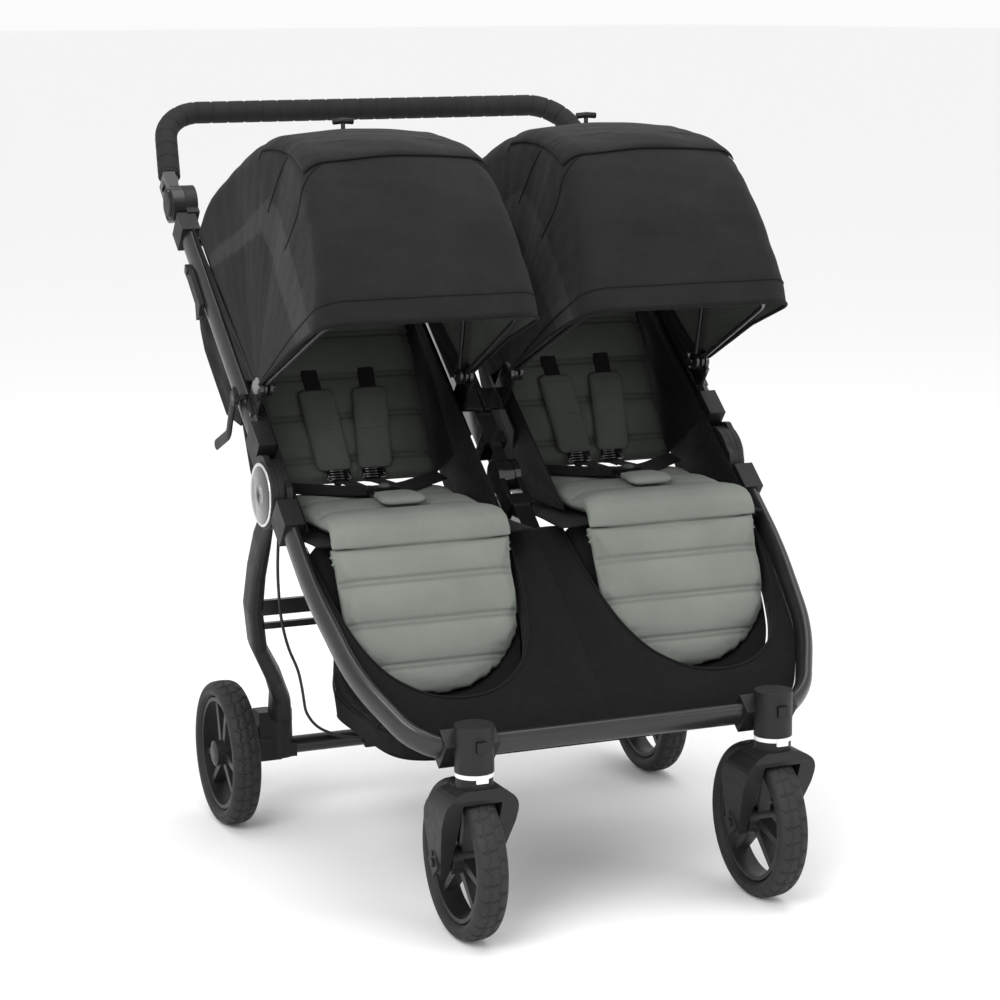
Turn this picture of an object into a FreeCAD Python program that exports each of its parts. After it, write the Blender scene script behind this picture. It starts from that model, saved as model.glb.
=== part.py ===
"""Double side-by-side folding stroller. Millimetres, +Z up, front of the stroller at -Y.
The origin is on the floor, under the centre of the overall box."""
import FreeCAD, Part
import math
import os

V = FreeCAD.Vector

# ---- driving dimensions -------------------------------------------------------------
CLEAR = 0.4             # gap between pieces of different bodies
WHEEL_R = 108.0         # tyre radius, all four wheels
TYRE_W = 42.0           # tyre width
RIM_R = 84.0            # bead seat radius of the rim
RIM_W = 30.0            # rim width
RIM_WALL = 6.0          # rim ring thickness
HUB_R = 19.0            # wheel hub radius
AXLE_R = 6.0            # wheel axle radius
AXLE_PLAY = 0.05        # radial clearance of each wheel on its axle
REAR_X = 350.0          # rear wheel centre plane
REAR_Y = 198.5          # rear axle, from the origin
FRONT_X = 218.0         # caster stem
FRONT_Y = -421.5        # front wheel axle
TRAIL = 36.0            # caster stem ahead of the wheel axle
HUB_Y = -44.5           # fold axis
HUB_Z = 541.0
FRAME_TILT = 38.7       # slope of the side tubes
TUBE_X = 352.0          # side tube centre plane
TUBE_W = 22.0           # oval tube, across
TUBE_H = 38.0           # oval tube, deep
TUBE_WALL = 1.8
TUBE_RISE = 24.0        # tube axis above the fold axis, square to the tube
NOSE_S = -476.0         # front crossbar, along the frame slope from the fold axis
HINGE_R = 49.0          # side hinge disc radius
HINGE_PIN_R = 9.0
LAYER = 8.6             # thickness of each hinge layer
PIVOT_S = 558.0         # handlebar pivot, along the slope
PIVOT_RISE = 33.0
PIVOT_R = 28.0
HANDLE_REACH = 192.0    # handlebar pivot to grip axis
HANDLE_LIFT = 42.6      # slope of the handlebar arms
HANDLE_X = 332.0        # handlebar arms, at the grip corners
GRIP_R = 17.0
BAR_R = 13.0
LEG_X = 352.0           # rear leg, beside the fold hinge
SLEEVE_X = 270.0        # rear leg foot
AXLE_TUBE_R = 13.0
SEAT_X = 190.0          # centre plane of each seat
SEAT_W = 276.0          # seat cushion width
SEAT_Z = 527.0          # top of the seat cushion
SEAT_T = 26.0
SEAT_FRONT_Y = -208.0
SEAT_BACK_Y = 66.0
BACK_LEAN = 63.0        # seat back angle above level
BACK_LEN = 430.0
CALF_LEN = 215.0
CALF_T = 22.0
APRON_H = 18.0          # apron plane above the fold axis
APRON_T = 3.0
CANOPY_W = 320.0        # across the canopy pivots
CANOPY_Y = 10.5
CANOPY_Z = 683.0
FABRIC_T = 2.4
BOW_R = 3.5
BASKET_W = 470.0
HOUSING_R = 26.0
STEM_R = 8.0
RING_Z = 230.0          # underside of the lock ring on each caster

SLOPE = math.radians(FRAME_TILT)
STEM_Y = FRONT_Y - TRAIL


# ---- shape helpers ------------------------------------------------------------------
def box(x0, x1, y0, y1, z0, z1):
    return Part.makeBox(x1 - x0, y1 - y0, z1 - z0, V(x0, y0, z0))


def rod(x0, x1, y, z, r):
    return Part.makeCylinder(r, x1 - x0, V(x0, y, z), V(1, 0, 0))


def post(x, y, z0, z1, r):
    return Part.makeCylinder(r, z1 - z0, V(x, y, z0))


def bar(p, q, r):
    p, q = V(*p), V(*q)
    return Part.makeCylinder(r, (q - p).Length, p, q - p)


def prism_x(points, x0, x1):
    """Polygon of (y, z) points carried along X."""
    ring = [V(x0, y, z) for y, z in points]
    return Part.Face(Part.makePolygon(ring + ring[:1])).extrude(V(x1 - x0, 0, 0))


def plate(points, z0, z1):
    """Polygon of (x, y) points carried along Z."""
    ring = [V(x, y, z0) for x, y in points]
    return Part.Face(Part.makePolygon(ring + ring[:1])).extrude(V(0, 0, z1 - z0))


def turned(profile, x, y, z):
    """(along X, radius) outline spun about the X line through the given centre."""
    ring = [V(a, r, 0) for a, r in profile]
    solid = Part.Face(Part.makePolygon(ring + ring[:1])).revolve(V(0, 0, 0), V(1, 0, 0), 360)
    solid.translate(V(x, y, z))
    return solid


def mirror(shape):
    return shape.mirror(V(0, 0, 0), V(1, 0, 0))


def lean(shape, angle, y, z):
    """Local (x, s, h) turned about X by the angle and set at (y, z)."""
    out = shape.copy()
    out.rotate(V(0, 0, 0), V(1, 0, 0), angle)
    out.translate(V(0, y, z))
    return out


def on_slope(shape):
    return lean(shape, FRAME_TILT, HUB_Y, HUB_Z)


def slope_yz(s, h):
    return (HUB_Y + s * math.cos(SLOPE) - h * math.sin(SLOPE),
            HUB_Z + s * math.sin(SLOPE) + h * math.cos(SLOPE))


def rounded(points, radii):
    """Straight runs joined by tangent arcs, one radius per inner point."""
    points = [V(*p) for p in points]
    edges, start = [], points[0]
    for i in range(1, len(points) - 1):
        a = (points[i - 1] - points[i]).normalize()
        b = (points[i + 1] - points[i]).normalize()
        half = math.acos(max(-1.0, min(1.0, a.dot(b)))) / 2
        cut = radii[i - 1] / math.tan(half)
        p, q = points[i] + a * cut, points[i] + b * cut
        bis = (a + b).normalize()
        mid = points[i] + bis * (radii[i - 1] / math.sin(half) - radii[i - 1])
        if (p - start).Length > 1e-6:
            edges.append(Part.LineSegment(start, p).toShape())
        edges.append(Part.Arc(p, mid, q).toShape())
        start = q
    edges.append(Part.LineSegment(start, points[-1]).toShape())
    return Part.Wire(edges)


def ring_at(path, r):
    edge = path.Edges[0]
    start = edge.valueAt(edge.FirstParameter)
    return Part.Wire([Part.Circle(start, edge.tangentAt(edge.FirstParameter), r).toShape()])


def oval_at(point, across, deep, w, h):
    """Oval section centred on the point; the two directions are its half axes."""
    p, a, d = V(*point), V(*across) * (w / 2), V(*deep) * (h / 2)
    if h >= w:
        return Part.Wire([Part.Ellipse(p + d, p + a, p).toShape()])
    return Part.Wire([Part.Ellipse(p + a, p + d, p).toShape()])


def sweep(path, section):
    return path.makePipeShell([section], True, False)


def round_tube(path, r, wall):
    return sweep(path, ring_at(path, r)).cut(sweep(path, ring_at(path, r - wall)))


def oval_tube(path, start, across, deep, w, h, wall):
    outer = sweep(path, oval_at(start, across, deep, w, h))
    return outer.cut(sweep(path, oval_at(start, across, deep, w - 2 * wall, h - 2 * wall)))


def arc_points(cx, cy, r, a0, a1, n):
    return [(cx + r * math.cos(math.radians(a0 + (a1 - a0) * i / n)),
             cy + r * math.sin(math.radians(a0 + (a1 - a0) * i / n))) for i in range(n + 1)]


# ---- wheels -------------------------------------------------------------------------
def tyre(x, y, z):
    w, r = TYRE_W / 2, WHEEL_R
    lip = RIM_W / 2
    outline = [(-lip, RIM_R), (lip, RIM_R), (w - 2, RIM_R + 4), (w, RIM_R + 10), (w - 1, r - 9),
               (w - 5, r - 4), (w - 12, r - 1), (4, r), (-4, r), (12 - w, r - 1), (5 - w, r - 4),
               (1 - w, r - 9), (-w, RIM_R + 10), (2 - w, RIM_R + 4)]
    return turned(outline, x, y, z)


def rim(x, y, z, hub_half):
    """Ring, hub and three pairs of spokes, bored through for the axle."""
    ring = turned([(-RIM_W / 2, RIM_R), (RIM_W / 2, RIM_R), (RIM_W / 2, RIM_R - RIM_WALL),
                   (-RIM_W / 2, RIM_R - RIM_WALL)], x, y, z)
    body = rod(x - hub_half, x + hub_half, y, z, HUB_R)
    reach = RIM_R - RIM_WALL + 1
    for pair in range(3):
        for side in (-1, 1):
            a = math.radians(90 + 120 * pair)
            b = a + side * math.radians(17)
            ca, sa, cb, sb = math.cos(a), math.sin(a), math.cos(b), math.sin(b)
            root = (ca * 12 - sa * side * 7, sa * 12 + ca * side * 7)
            tip = (cb * reach, sb * reach)
            dx, dy = tip[0] - root[0], tip[1] - root[1]
            n = math.hypot(dx, dy)
            nx, ny = -dy / n, dx / n
            body = body.fuse(prism_x([
                (y + root[0] + nx * 6, z + root[1] + ny * 6),
                (y + tip[0] + nx * 4, z + tip[1] + ny * 4),
                (y + tip[0] - nx * 4, z + tip[1] - ny * 4),
                (y + root[0] - nx * 6, z + root[1] - ny * 6)], x - 9, x + 9))
    body = body.common(rod(x - hub_half, x + hub_half, y, z, RIM_R - 1)).fuse(ring)
    return body.cut(rod(x - hub_half - 1, x + hub_half + 1, y, z, AXLE_R + AXLE_PLAY)).removeSplitter()


REAR_HUB_IN = 24.0      # inner hub face from the wheel's centre plane
REAR_HUB_OUT = 21.0


def rear_rim():
    """Rear rim with its domed cap over the end of the axle."""
    outer = -REAR_X - REAR_HUB_OUT
    cap = turned([(3, 0), (3, HUB_R), (0, HUB_R), (-2, 14), (-3, 10), (-3, 0)], outer, REAR_Y, WHEEL_R)
    return rim(-REAR_X, REAR_Y, WHEEL_R, REAR_HUB_OUT).fuse(cap).removeSplitter()


# ---- casters ------------------------------------------------------------------------
FORK_IN = 27.0          # half the gap between the fork legs
FORK_OUT = 42.0         # half the width at the axle
FORK_TOP = RING_Z - CLEAR


def fork():
    """Arched fork: front outline crossed with a side outline, hollowed over the tyre."""
    top = FORK_TOP
    front = [(-24, top - 12)] + arc_points(-22, top - 44, 30, 120, 180, 5)
    front += [(-52, top - 62), (-FORK_OUT, WHEEL_R), (-FORK_OUT + 3, WHEEL_R - 15)]
    front += [(-FORK_IN, WHEEL_R - 15)]
    front = front + [(-x, z) for x, z in reversed(front)]
    ring = [V(-FRONT_X + x, STEM_Y - 60, z) for x, z in front]
    face = Part.Face(Part.makePolygon(ring + ring[:1])).extrude(V(0, 120, 0))
    side = [(STEM_Y - 26, top), (STEM_Y + 22, top), (STEM_Y + 26, top - 14), (FRONT_Y + 12, top - 50),
            (FRONT_Y + 17, WHEEL_R + 8), (FRONT_Y + 12, WHEEL_R - 15), (FRONT_Y - 12, WHEEL_R - 15),
            (FRONT_Y - 26, WHEEL_R + 12), (STEM_Y - 22, top - 48), (STEM_Y - 32, top - 24)]
    body = face.common(prism_x(side, -FRONT_X - 60, -FRONT_X + 60))
    body = body.cut(rod(-FRONT_X - FORK_IN, -FRONT_X + FORK_IN, FRONT_Y, WHEEL_R, WHEEL_R + 4))
    body = body.fuse(post(-FRONT_X, STEM_Y, top - 16, top, 24.6).cut(
        rod(-FRONT_X - 40, -FRONT_X + 40, FRONT_Y, WHEEL_R, WHEEL_R + 4)))
    stem = post(-FRONT_X, STEM_Y, top - 6, RING_Z + 58, STEM_R)
    axle = rod(-FRONT_X - FORK_OUT - 6, -FRONT_X + FORK_OUT + 6, FRONT_Y, WHEEL_R, AXLE_R)
    return body.fuse(stem).fuse(axle).fuse(axle_plate(-1)).fuse(axle_plate(1)).removeSplitter()


def axle_plate(side):
    """Diamond plate with a bolt on the outside of a fork leg."""
    x0, x1 = sorted((-FRONT_X + side * (FORK_OUT - 1), -FRONT_X + side * (FORK_OUT + 3)))
    y, z = FRONT_Y, WHEEL_R
    flat = prism_x([(y - 4, z + 22), (y + 17, z + 2), (y + 2, z - 20), (y - 17, z - 3)], x0, x1)
    return flat.fuse(rod(x0 - 2, x1 + 2, y + 1, z + 12.5, 3.5))


def lock_ring():
    x, y = -FRONT_X, STEM_Y
    ring = post(x, y, RING_Z, RING_Z + 6, 25.5).cut(post(x, y, RING_Z - 1, RING_Z + 8, STEM_R + CLEAR))
    tab = box(x - 8, x + 8, y - 29, y - 25.6, RING_Z - 4, RING_Z + 6)
    return ring.fuse(box(x - 8, x + 8, y - 29, y - 20, RING_Z, RING_Z + 6)).fuse(tab)


def caster_housing():
    """Casting that plugs the side tube and the crossbar and holds the caster stem."""
    x, y = -FRONT_X, STEM_Y
    z0, z1 = RING_Z + 6, RING_Z + 68
    body = post(x, y, z0, z1, HOUSING_R)
    by, bz = slope_yz(NOSE_S, TUBE_RISE)
    sleeve = on_slope(Part.makeBox(2 * HOUSING_R + 24, TUBE_W + 8, TUBE_H + 6,
                                   V(x - HOUSING_R - 12, NOSE_S - TUBE_W / 2 - 4,
                                     TUBE_RISE - TUBE_H / 2 - 3)))
    sleeve = sleeve.common(box(x - 60, x + 60, by - 40, by + 40, z0, z1))
    body = body.fuse(sleeve)
    body = body.cut(post(x, y, z0 - 1, RING_Z + 59, STEM_R + AXLE_PLAY))
    lower, cross = lower_side_tube_solid(), crossbar_solid()
    button = box(x - 7.4, x + 7.4, y - 40, y - 13, z0 + 30, z0 + 45)
    return body.cut(lower).cut(cross).cut(button).removeSplitter()


def swivel_lock():
    """Push tab on the front of each caster housing."""
    x, y, z0 = -FRONT_X, STEM_Y, RING_Z + 36
    return box(x - 7, x + 7, y - HOUSING_R - 4, y - 17, z0 + 0.4, z0 + 14.6)


# ---- lower frame --------------------------------------------------------------------
ARM_END = 50.0 + 2.0    # hinge arms start just outside the discs
PLUG = 14.0


SIDE_RADII = [800.0, 300.0, 85.0, 60.0]


def side_corners():
    """Corners of the left side tube's axis in the slope plane, from the hinge to the nose."""
    x, s, reach = TUBE_X, NOSE_S, TUBE_X - FRONT_X
    return [(-x, -ARM_END), (-x, s * 0.42), (17.0 - x, s * 0.735), (reach * 0.448 - x, s * 0.937),
            (reach * 0.716 - x, s), (-FRONT_X - PLUG, s)]


def side_path():
    return rounded([(x, s, TUBE_RISE) for x, s in side_corners()], SIDE_RADII)


def lower_side_tube_solid():
    path = side_path()
    shape = sweep(path, oval_at((-TUBE_X, -ARM_END, TUBE_RISE), (1, 0, 0), (0, 0, 1),
                                TUBE_W, TUBE_H))
    return on_slope(shape)


def lower_side_tube():
    path = side_path()
    return on_slope(oval_tube(path, (-TUBE_X, -ARM_END, TUBE_RISE), (1, 0, 0), (0, 0, 1),
                              TUBE_W, TUBE_H, TUBE_WALL))


def crossbar_path():
    x = FRONT_X - PLUG
    return Part.Wire([Part.LineSegment(V(-x, NOSE_S, TUBE_RISE), V(x, NOSE_S, TUBE_RISE)).toShape()])


def crossbar_solid():
    start = (-FRONT_X + PLUG, NOSE_S, TUBE_RISE)
    return on_slope(sweep(crossbar_path(), oval_at(start, (0, 1, 0), (0, 0, 1), TUBE_W, TUBE_H)))


def front_crossbar():
    start = (-FRONT_X + PLUG, NOSE_S, TUBE_RISE)
    return on_slope(oval_tube(crossbar_path(), start, (0, 1, 0), (0, 0, 1), TUBE_W, TUBE_H,
                              TUBE_WALL))


CENTRE_W = 26.0
CENTRE_H = 34.0


def lower_centre_rail():
    """Middle rail from the centre hinge down to the crossbar, with the forked hinge half."""
    return lower_centre_tube().fuse(centre_lower_hinge()).removeSplitter()


def lower_centre_tube():
    s0, s1 = NOSE_S + TUBE_W / 2, -ARM_END
    h0 = APRON_H - APRON_T / 2 - 0.3 - CENTRE_H
    rail = Part.makeBox(CENTRE_W, s1 - s0, CENTRE_H, V(-CENTRE_W / 2, s0, h0))
    rail = rail.cut(Part.makeBox(CENTRE_W - 4, s1 - s0 + 2, CENTRE_H - 4,
                                 V(-CENTRE_W / 2 + 2, s0 - 1, h0 + 2)))
    return on_slope(rail)


def hinge_x(layer):
    """Inboard and outboard faces of each layer of the side hinge, from the inside out."""
    inner = TUBE_X - TUBE_W / 2 - 4
    start = inner + layer * (LAYER + CLEAR)
    return start, start + LAYER


def hinge_arm(direction, x0, x1):
    """Socket block around the tube end, outside the disc circle."""
    s0, s1 = sorted((direction * (HINGE_R + 2), direction * (HINGE_R + 48)))
    return on_slope(Part.makeBox(x1 - x0, s1 - s0, TUBE_H + 6,
                                 V(-x1, s0, TUBE_RISE - TUBE_H / 2 - 3)))


def lower_hinge():
    """Inner disc of the side hinge with its pin and the lower tube's socket."""
    a, b = hinge_x(0)
    disc = rod(-b, -a, HUB_Y, HUB_Z, HINGE_R)
    web = on_slope(Part.makeBox(b - a, 60, TUBE_H + 6, V(-b, -HINGE_R - 6, TUBE_RISE - TUBE_H / 2 - 3)))
    web = web.common(rod(-b, -a, HUB_Y, HUB_Z, HINGE_R + 6))
    arm = hinge_arm(-1, a, TUBE_X + TUBE_W / 2 + 3)
    outer = hinge_x(2)[1] - 2.5
    pin = rod(-outer, -a, HUB_Y, HUB_Z, HINGE_PIN_R)
    return disc.fuse(web).fuse(arm).fuse(pin).cut(lower_side_tube_solid()).removeSplitter()


def centre_lower_hinge():
    """Forked lower half of the centre hinge, with its pin."""
    parts = []
    h0 = APRON_H - APRON_T / 2 - 0.3 - CENTRE_H
    for side in (-1, 1):
        x0 = side * 9 if side > 0 else -17
        cheek = rod(x0, x0 + 8, 0, 0, 24)
        cheek = cheek.fuse(Part.makeBox(8, ARM_END, 30, V(x0, -ARM_END, -14)))
        parts.append(cheek)
    block = Part.makeBox(34, 18, CENTRE_H + 6, V(-17, -ARM_END - 18, h0 - 3))
    block = block.cut(Part.makeBox(CENTRE_W, 20, CENTRE_H, V(-CENTRE_W / 2, -ARM_END - 19, h0)))
    joined = parts[0].fuse(parts[1]).fuse(block)
    joined = joined.fuse(Part.makeBox(34, 4, 30, V(-17, -ARM_END, -14)))
    joined = joined.cut(Part.makeBox(17.8, ARM_END - 4, 60, V(-8.9, -ARM_END + 4, -30)))
    joined = joined.fuse(rod(-17, 17, 0, 0, 6))
    return on_slope(joined).removeSplitter()


# ---- upper frame --------------------------------------------------------------------
def upper_tube_solid():
    path = Part.Wire([Part.LineSegment(V(-TUBE_X, ARM_END, TUBE_RISE),
                                       V(-TUBE_X, PIVOT_S - PIVOT_R - 6, TUBE_RISE)).toShape()])
    return path, (-TUBE_X, ARM_END, TUBE_RISE)


def upper_tube():
    path, start = upper_tube_solid()
    return on_slope(oval_tube(path, start, (1, 0, 0), (0, 0, 1), TUBE_W, TUBE_H, TUBE_WALL))


LEVER_S, LEVER_H = 154.0, 34.0
CATCH_S, CATCH_H = 424.0, 22.0
STUD_R = 4.0


def upper_tubes():
    """Both upper tubes; the left one carries the studs of the brake lever and the catch."""
    left = upper_tube()
    x = -TUBE_X - TUBE_W / 2
    for s, h in ((LEVER_S, LEVER_H), (CATCH_S, CATCH_H)):
        left = left.fuse(on_slope(rod(x - 11, x + TUBE_WALL + 1.5, s, h, STUD_R)))
    return Part.makeCompound([left, mirror(upper_tube())])


def upper_tube_full():
    path, start = upper_tube_solid()
    return on_slope(sweep(path, oval_at(start, (1, 0, 0), (0, 0, 1), TUBE_W, TUBE_H)))


def upper_hinge():
    """Outer disc of the side hinge with the upper tube's socket."""
    a, b = hinge_x(2)
    disc = rod(-b, -a, HUB_Y, HUB_Z, HINGE_R)
    web = on_slope(Part.makeBox(b - a, 60, TUBE_H + 6, V(-b, HINGE_R - 54, TUBE_RISE - TUBE_H / 2 - 3)))
    web = web.common(rod(-b, -a, HUB_Y, HUB_Z, HINGE_R + 6))
    arm = hinge_arm(1, TUBE_X - TUBE_W / 2 - 3, b)
    body = disc.fuse(web).fuse(arm)
    body = body.cut(rod(-b - 1, -a + 1, HUB_Y, HUB_Z, HINGE_PIN_R + AXLE_PLAY))
    return body.cut(upper_tube_full()).fuse(hinge_cap()).removeSplitter()


def hinge_cap():
    """Round badge plate, left plain, inside a bright ring."""
    b = hinge_x(2)[1]
    return turned([(0, 0), (0, HINGE_R - 3), (-2, HINGE_R - 4), (-3, HINGE_R - 6),
                   (-3, 0)], -b, HUB_Y, HUB_Z)


def upper_centre_rail():
    """Middle rail that carries the inner canopy pivots, with the hinge blade."""
    return upper_centre_tube().fuse(centre_upper_hinge()).removeSplitter()


def upper_centre_tube():
    h0 = APRON_H - APRON_T / 2 - 0.3 - CENTRE_H
    run = CROSS_S + CROSS_R + 4 - ARM_END
    rail = Part.makeBox(CENTRE_W, run, CENTRE_H, V(-CENTRE_W / 2, ARM_END, h0))
    rail = rail.cut(Part.makeBox(CENTRE_W - 4, run + 2, CENTRE_H - 4, V(-CENTRE_W / 2 + 2, ARM_END - 1,
                                                                       h0 + 2)))
    return on_slope(rail.cut(rod(-CENTRE_W, CENTRE_W, CROSS_S, CROSS_H, CROSS_R)))


def centre_upper_hinge():
    h0 = APRON_H - APRON_T / 2 - 0.3 - CENTRE_H
    blade = rod(-8.5, 8.5, 0, 0, 22).fuse(Part.makeBox(17, ARM_END + 2, 26, V(-8.5, 0, -12)))
    block = Part.makeBox(34, 20, CENTRE_H + 6, V(-17, ARM_END - 2, h0 - 3))
    block = block.cut(Part.makeBox(CENTRE_W, 20, CENTRE_H, V(-CENTRE_W / 2, ARM_END, h0)))
    body = blade.fuse(block).cut(rod(-10, 10, 0, 0, 6 + AXLE_PLAY))
    return on_slope(body).removeSplitter()


CROSS_S = PIVOT_S - PIVOT_R - 22.0
CROSS_H = 4.0
CROSS_R = 9.0


def rear_cross_tube():
    """Tube across the top of the upper frame, behind the seat backs."""
    x = TUBE_X - TUBE_W / 2 - 3
    tube = rod(-x, x, CROSS_S, CROSS_H, CROSS_R).cut(rod(-x - 1, x + 1, CROSS_S, CROSS_H, CROSS_R - 1.6))
    return on_slope(tube)


PIVOT_MID = 350.0       # split plane between the fixed and the turning half


def handle_base():
    """Fixed half of the handlebar pivot on the upper tube."""
    y, z = slope_yz(PIVOT_S, PIVOT_RISE)
    drum = rod(-PIVOT_MID, -PIVOT_MID + 19, y, z, PIVOT_R)
    pin = rod(-PIVOT_MID - 10, -PIVOT_MID + 19, y, z, 8)
    s0 = PIVOT_S - PIVOT_R - 40
    arm = on_slope(Part.makeBox(TUBE_W + 6, 36, TUBE_H + 6,
                                V(-TUBE_X - TUBE_W / 2 - 3, s0, TUBE_RISE - TUBE_H / 2 - 3)))
    neck = on_slope(Part.makeBox(19, 50, 40, V(-PIVOT_MID, PIVOT_S - PIVOT_R - 6, 8)))
    body = drum.fuse(pin).fuse(arm).fuse(neck)
    return body.cut(upper_tube_full()).removeSplitter()


def handle_knuckle():
    """Turning half of the pivot, with the socket of the handlebar arm."""
    y, z = slope_yz(PIVOT_S, PIVOT_RISE)
    a, b = PIVOT_MID + CLEAR, PIVOT_MID + 18.5
    drum = rod(-b, -a, y, z, PIVOT_R)
    arm = lean(Part.makeBox(b - a, 44, 34, V(-b, 8, -17)), HANDLE_LIFT, y, z)
    body = drum.fuse(arm)
    body = body.cut(rod(-PIVOT_MID - 10.4, -PIVOT_MID + 1, y, z, 8 + AXLE_PLAY))
    body = body.cut(rod(-b - 1, -b + 6.4, y, z, 19.2))
    return body.cut(handle_solid(BAR_R)).removeSplitter()


def handle_button():
    y, z = slope_yz(PIVOT_S, PIVOT_RISE)
    b = PIVOT_MID + 18.5
    return turned([(0, 0), (0, 18.9), (-5, 18.9), (-7, 17), (-7, 0)], -b + 3, y, z)


def handle_path(t0):
    """Slanted arms and straight grip, from the distance t0 beyond the pivot axis."""
    x0, first, top = PIVOT_MID + 9, PIVOT_R + 3, HANDLE_REACH
    start = x0 + (HANDLE_X - x0) * (t0 - first) / (top - first)
    return rounded([(-start, t0, 0), (-HANDLE_X, top, 0), (HANDLE_X, top, 0), (start, t0, 0)],
                   [66, 66])


def handle_solid(r):
    y, z = slope_yz(PIVOT_S, PIVOT_RISE)
    path = handle_path(PIVOT_R + 3)
    return lean(sweep(path, ring_at(path, r)), HANDLE_LIFT, y, z)


def handle_bar():
    """Bent tube with the turning half of each pivot moulded on its ends."""
    y, z = slope_yz(PIVOT_S, PIVOT_RISE)
    tube = lean(round_tube(handle_path(PIVOT_R + 3), BAR_R, 2.0), HANDLE_LIFT, y, z)
    for x in (-PIVOT_MID - CLEAR, PIVOT_MID - 20):
        tube = tube.cut(rod(x, x + 20 + CLEAR, y, z, PIVOT_R + 3.5))
    knuckle = handle_knuckle()
    return tube.fuse(knuckle).fuse(mirror(knuckle)).removeSplitter()


def handle_grip():
    """Foam sleeve around the bend and the straight of the handlebar."""
    y, z = slope_yz(PIVOT_S, PIVOT_RISE)
    return lean(round_tube(handle_path(54), GRIP_R, GRIP_R - BAR_R - 0.02), HANDLE_LIFT, y, z)


def auto_lock():
    """Catch on the left upper tube that holds the folded frame."""
    s0, s1 = 345.0, 440.0
    x0, x1 = -TUBE_X - TUBE_W / 2 - 8, -TUBE_X - TUBE_W / 2 - CLEAR
    body = prism_x([(s0, 8), (s0 + 6, 26), (s1 - 20, 30), (s1, 22), (s1 - 4, 10), (s1 - 22, 12),
                    (s0 + 24, 10), (s0 + 6, -6)], x0, x1)
    return on_slope(body.cut(rod(x0 - 1, x1 + 1, CATCH_S, CATCH_H, STUD_R + AXLE_PLAY)))


def brake_lever():
    """Hand lever on the left side tube, bent outward at the end."""
    path = rounded([(0, 158, 46), (0, 152, 4), (0, 144, -30), (0, 176, -86)], [30, 22])
    body = sweep(path, oval_at((0, 158, 46), (1, 0, 0), (0, 1, 0), 7, 16))
    body = body.fuse(rod(-3.5, 3.5, LEVER_S, LEVER_H, 11))
    body = body.cut(rod(-6, 6, LEVER_S, LEVER_H, STUD_R + AXLE_PLAY))
    body.translate(V(-TUBE_X - TUBE_W / 2 - 7.5, 0, 0))
    return on_slope(body).removeSplitter()


# ---- rear frame ---------------------------------------------------------------------
LEG_STATIONS = [         # x, y, z, width across, depth along the travel
    (352.0, -30.0, 508.0, 8.6, 44.0),
    (353.0, -4.0, 470.0, 20.0, 42.0),
    (353.0, 26.0, 420.0, 22.0, 42.0),
    (352.0, 50.0, 362.0, 24.0, 42.0),
    (338.0, 78.0, 300.0, 25.0, 42.0),
    (300.0, 126.0, 240.0, 27.0, 40.0),
    (276.0, 170.0, 196.0, 30.0, 36.0),
    (270.0, 190.0, 160.0, 34.0, 34.0)]


def rear_leg():
    """Leg blended through oval sections from the side hinge to the axle casting."""
    wires = []
    for i, (x, y, z, w, d) in enumerate(LEG_STATIONS):
        j0, j1 = max(0, i - 1), min(len(LEG_STATIONS) - 1, i + 1)
        p0, p1 = V(*LEG_STATIONS[j0][:3]), V(*LEG_STATIONS[j1][:3])
        run = V(0, (p1 - p0).y, (p1 - p0).z).normalize()
        deep = V(0, -run.z, run.y)
        centre = V(-x, y, z)
        n = 16
        ring = []
        for k in range(n):
            a = 2 * math.pi * k / n
            ca, sa = math.cos(a), math.sin(a)
            px = math.copysign(abs(ca) ** 0.6, ca) * w / 2
            pd = math.copysign(abs(sa) ** 0.6, sa) * d / 2
            ring.append(centre + V(px, 0, 0) + deep * pd)
        wires.append(Part.makePolygon(ring + ring[:1]))
    body = Part.makeLoft(wires, True, True)
    a, b = hinge_x(1)
    body = body.cut(box(-a + 0.0, -a + 40, HUB_Y - 90, HUB_Y + 90, HUB_Z - HINGE_R - 6, HUB_Z + 60))
    eye = rod(-b, -a, HUB_Y, HUB_Z, HINGE_R)
    body = body.fuse(eye)
    keep_in = rod(-a + 0.0, -a + 40, HUB_Y, HUB_Z, HINGE_R + 0.6)
    keep_out = rod(-b - 40, -b, HUB_Y, HUB_Z, HINGE_R + 0.6)
    body = body.cut(keep_in).cut(keep_out)
    body = body.cut(rod(-b - 1, -a + 1, HUB_Y, HUB_Z, HINGE_PIN_R + AXLE_PLAY))
    return body.cut(axle_casting()).removeSplitter()


def axle_casting():
    """Foot sleeve, wheel arm and spring block of one rear corner, with the wheel's axle."""
    y, z = REAR_Y, WHEEL_R
    sleeve = post(-SLEEVE_X, y, z - 14, 166, 21).fuse(post(-SLEEVE_X, y - 4, 150, 166, 20))
    arm = box(-REAR_X + REAR_HUB_IN, -SLEEVE_X, y - 15, y + 15, z - 17, z + 19)
    spring = box(-SLEEVE_X - 34, -SLEEVE_X - 12, y - 14, y + 20, z + 10, z + 58)
    knob = rod(-SLEEVE_X - 48, -SLEEVE_X - 34, y + 4, z + 26, 7)
    heel = box(-SLEEVE_X, -SLEEVE_X + 24, y - 16, y + 16, z - 14, z + 6)
    stub = rod(-REAR_X - REAR_HUB_OUT + 3.6, -REAR_X + REAR_HUB_IN + 1, y, z, AXLE_R)
    collar = rod(-REAR_X + REAR_HUB_OUT + 0.6, -REAR_X + REAR_HUB_IN + 1, y, z, 13)
    body = sleeve.fuse(arm).fuse(spring).fuse(knob).fuse(heel).fuse(stub).fuse(collar)
    return body.cut(rod(-SLEEVE_X + 4, SLEEVE_X - 4, y, z, AXLE_TUBE_R)).removeSplitter()


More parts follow.
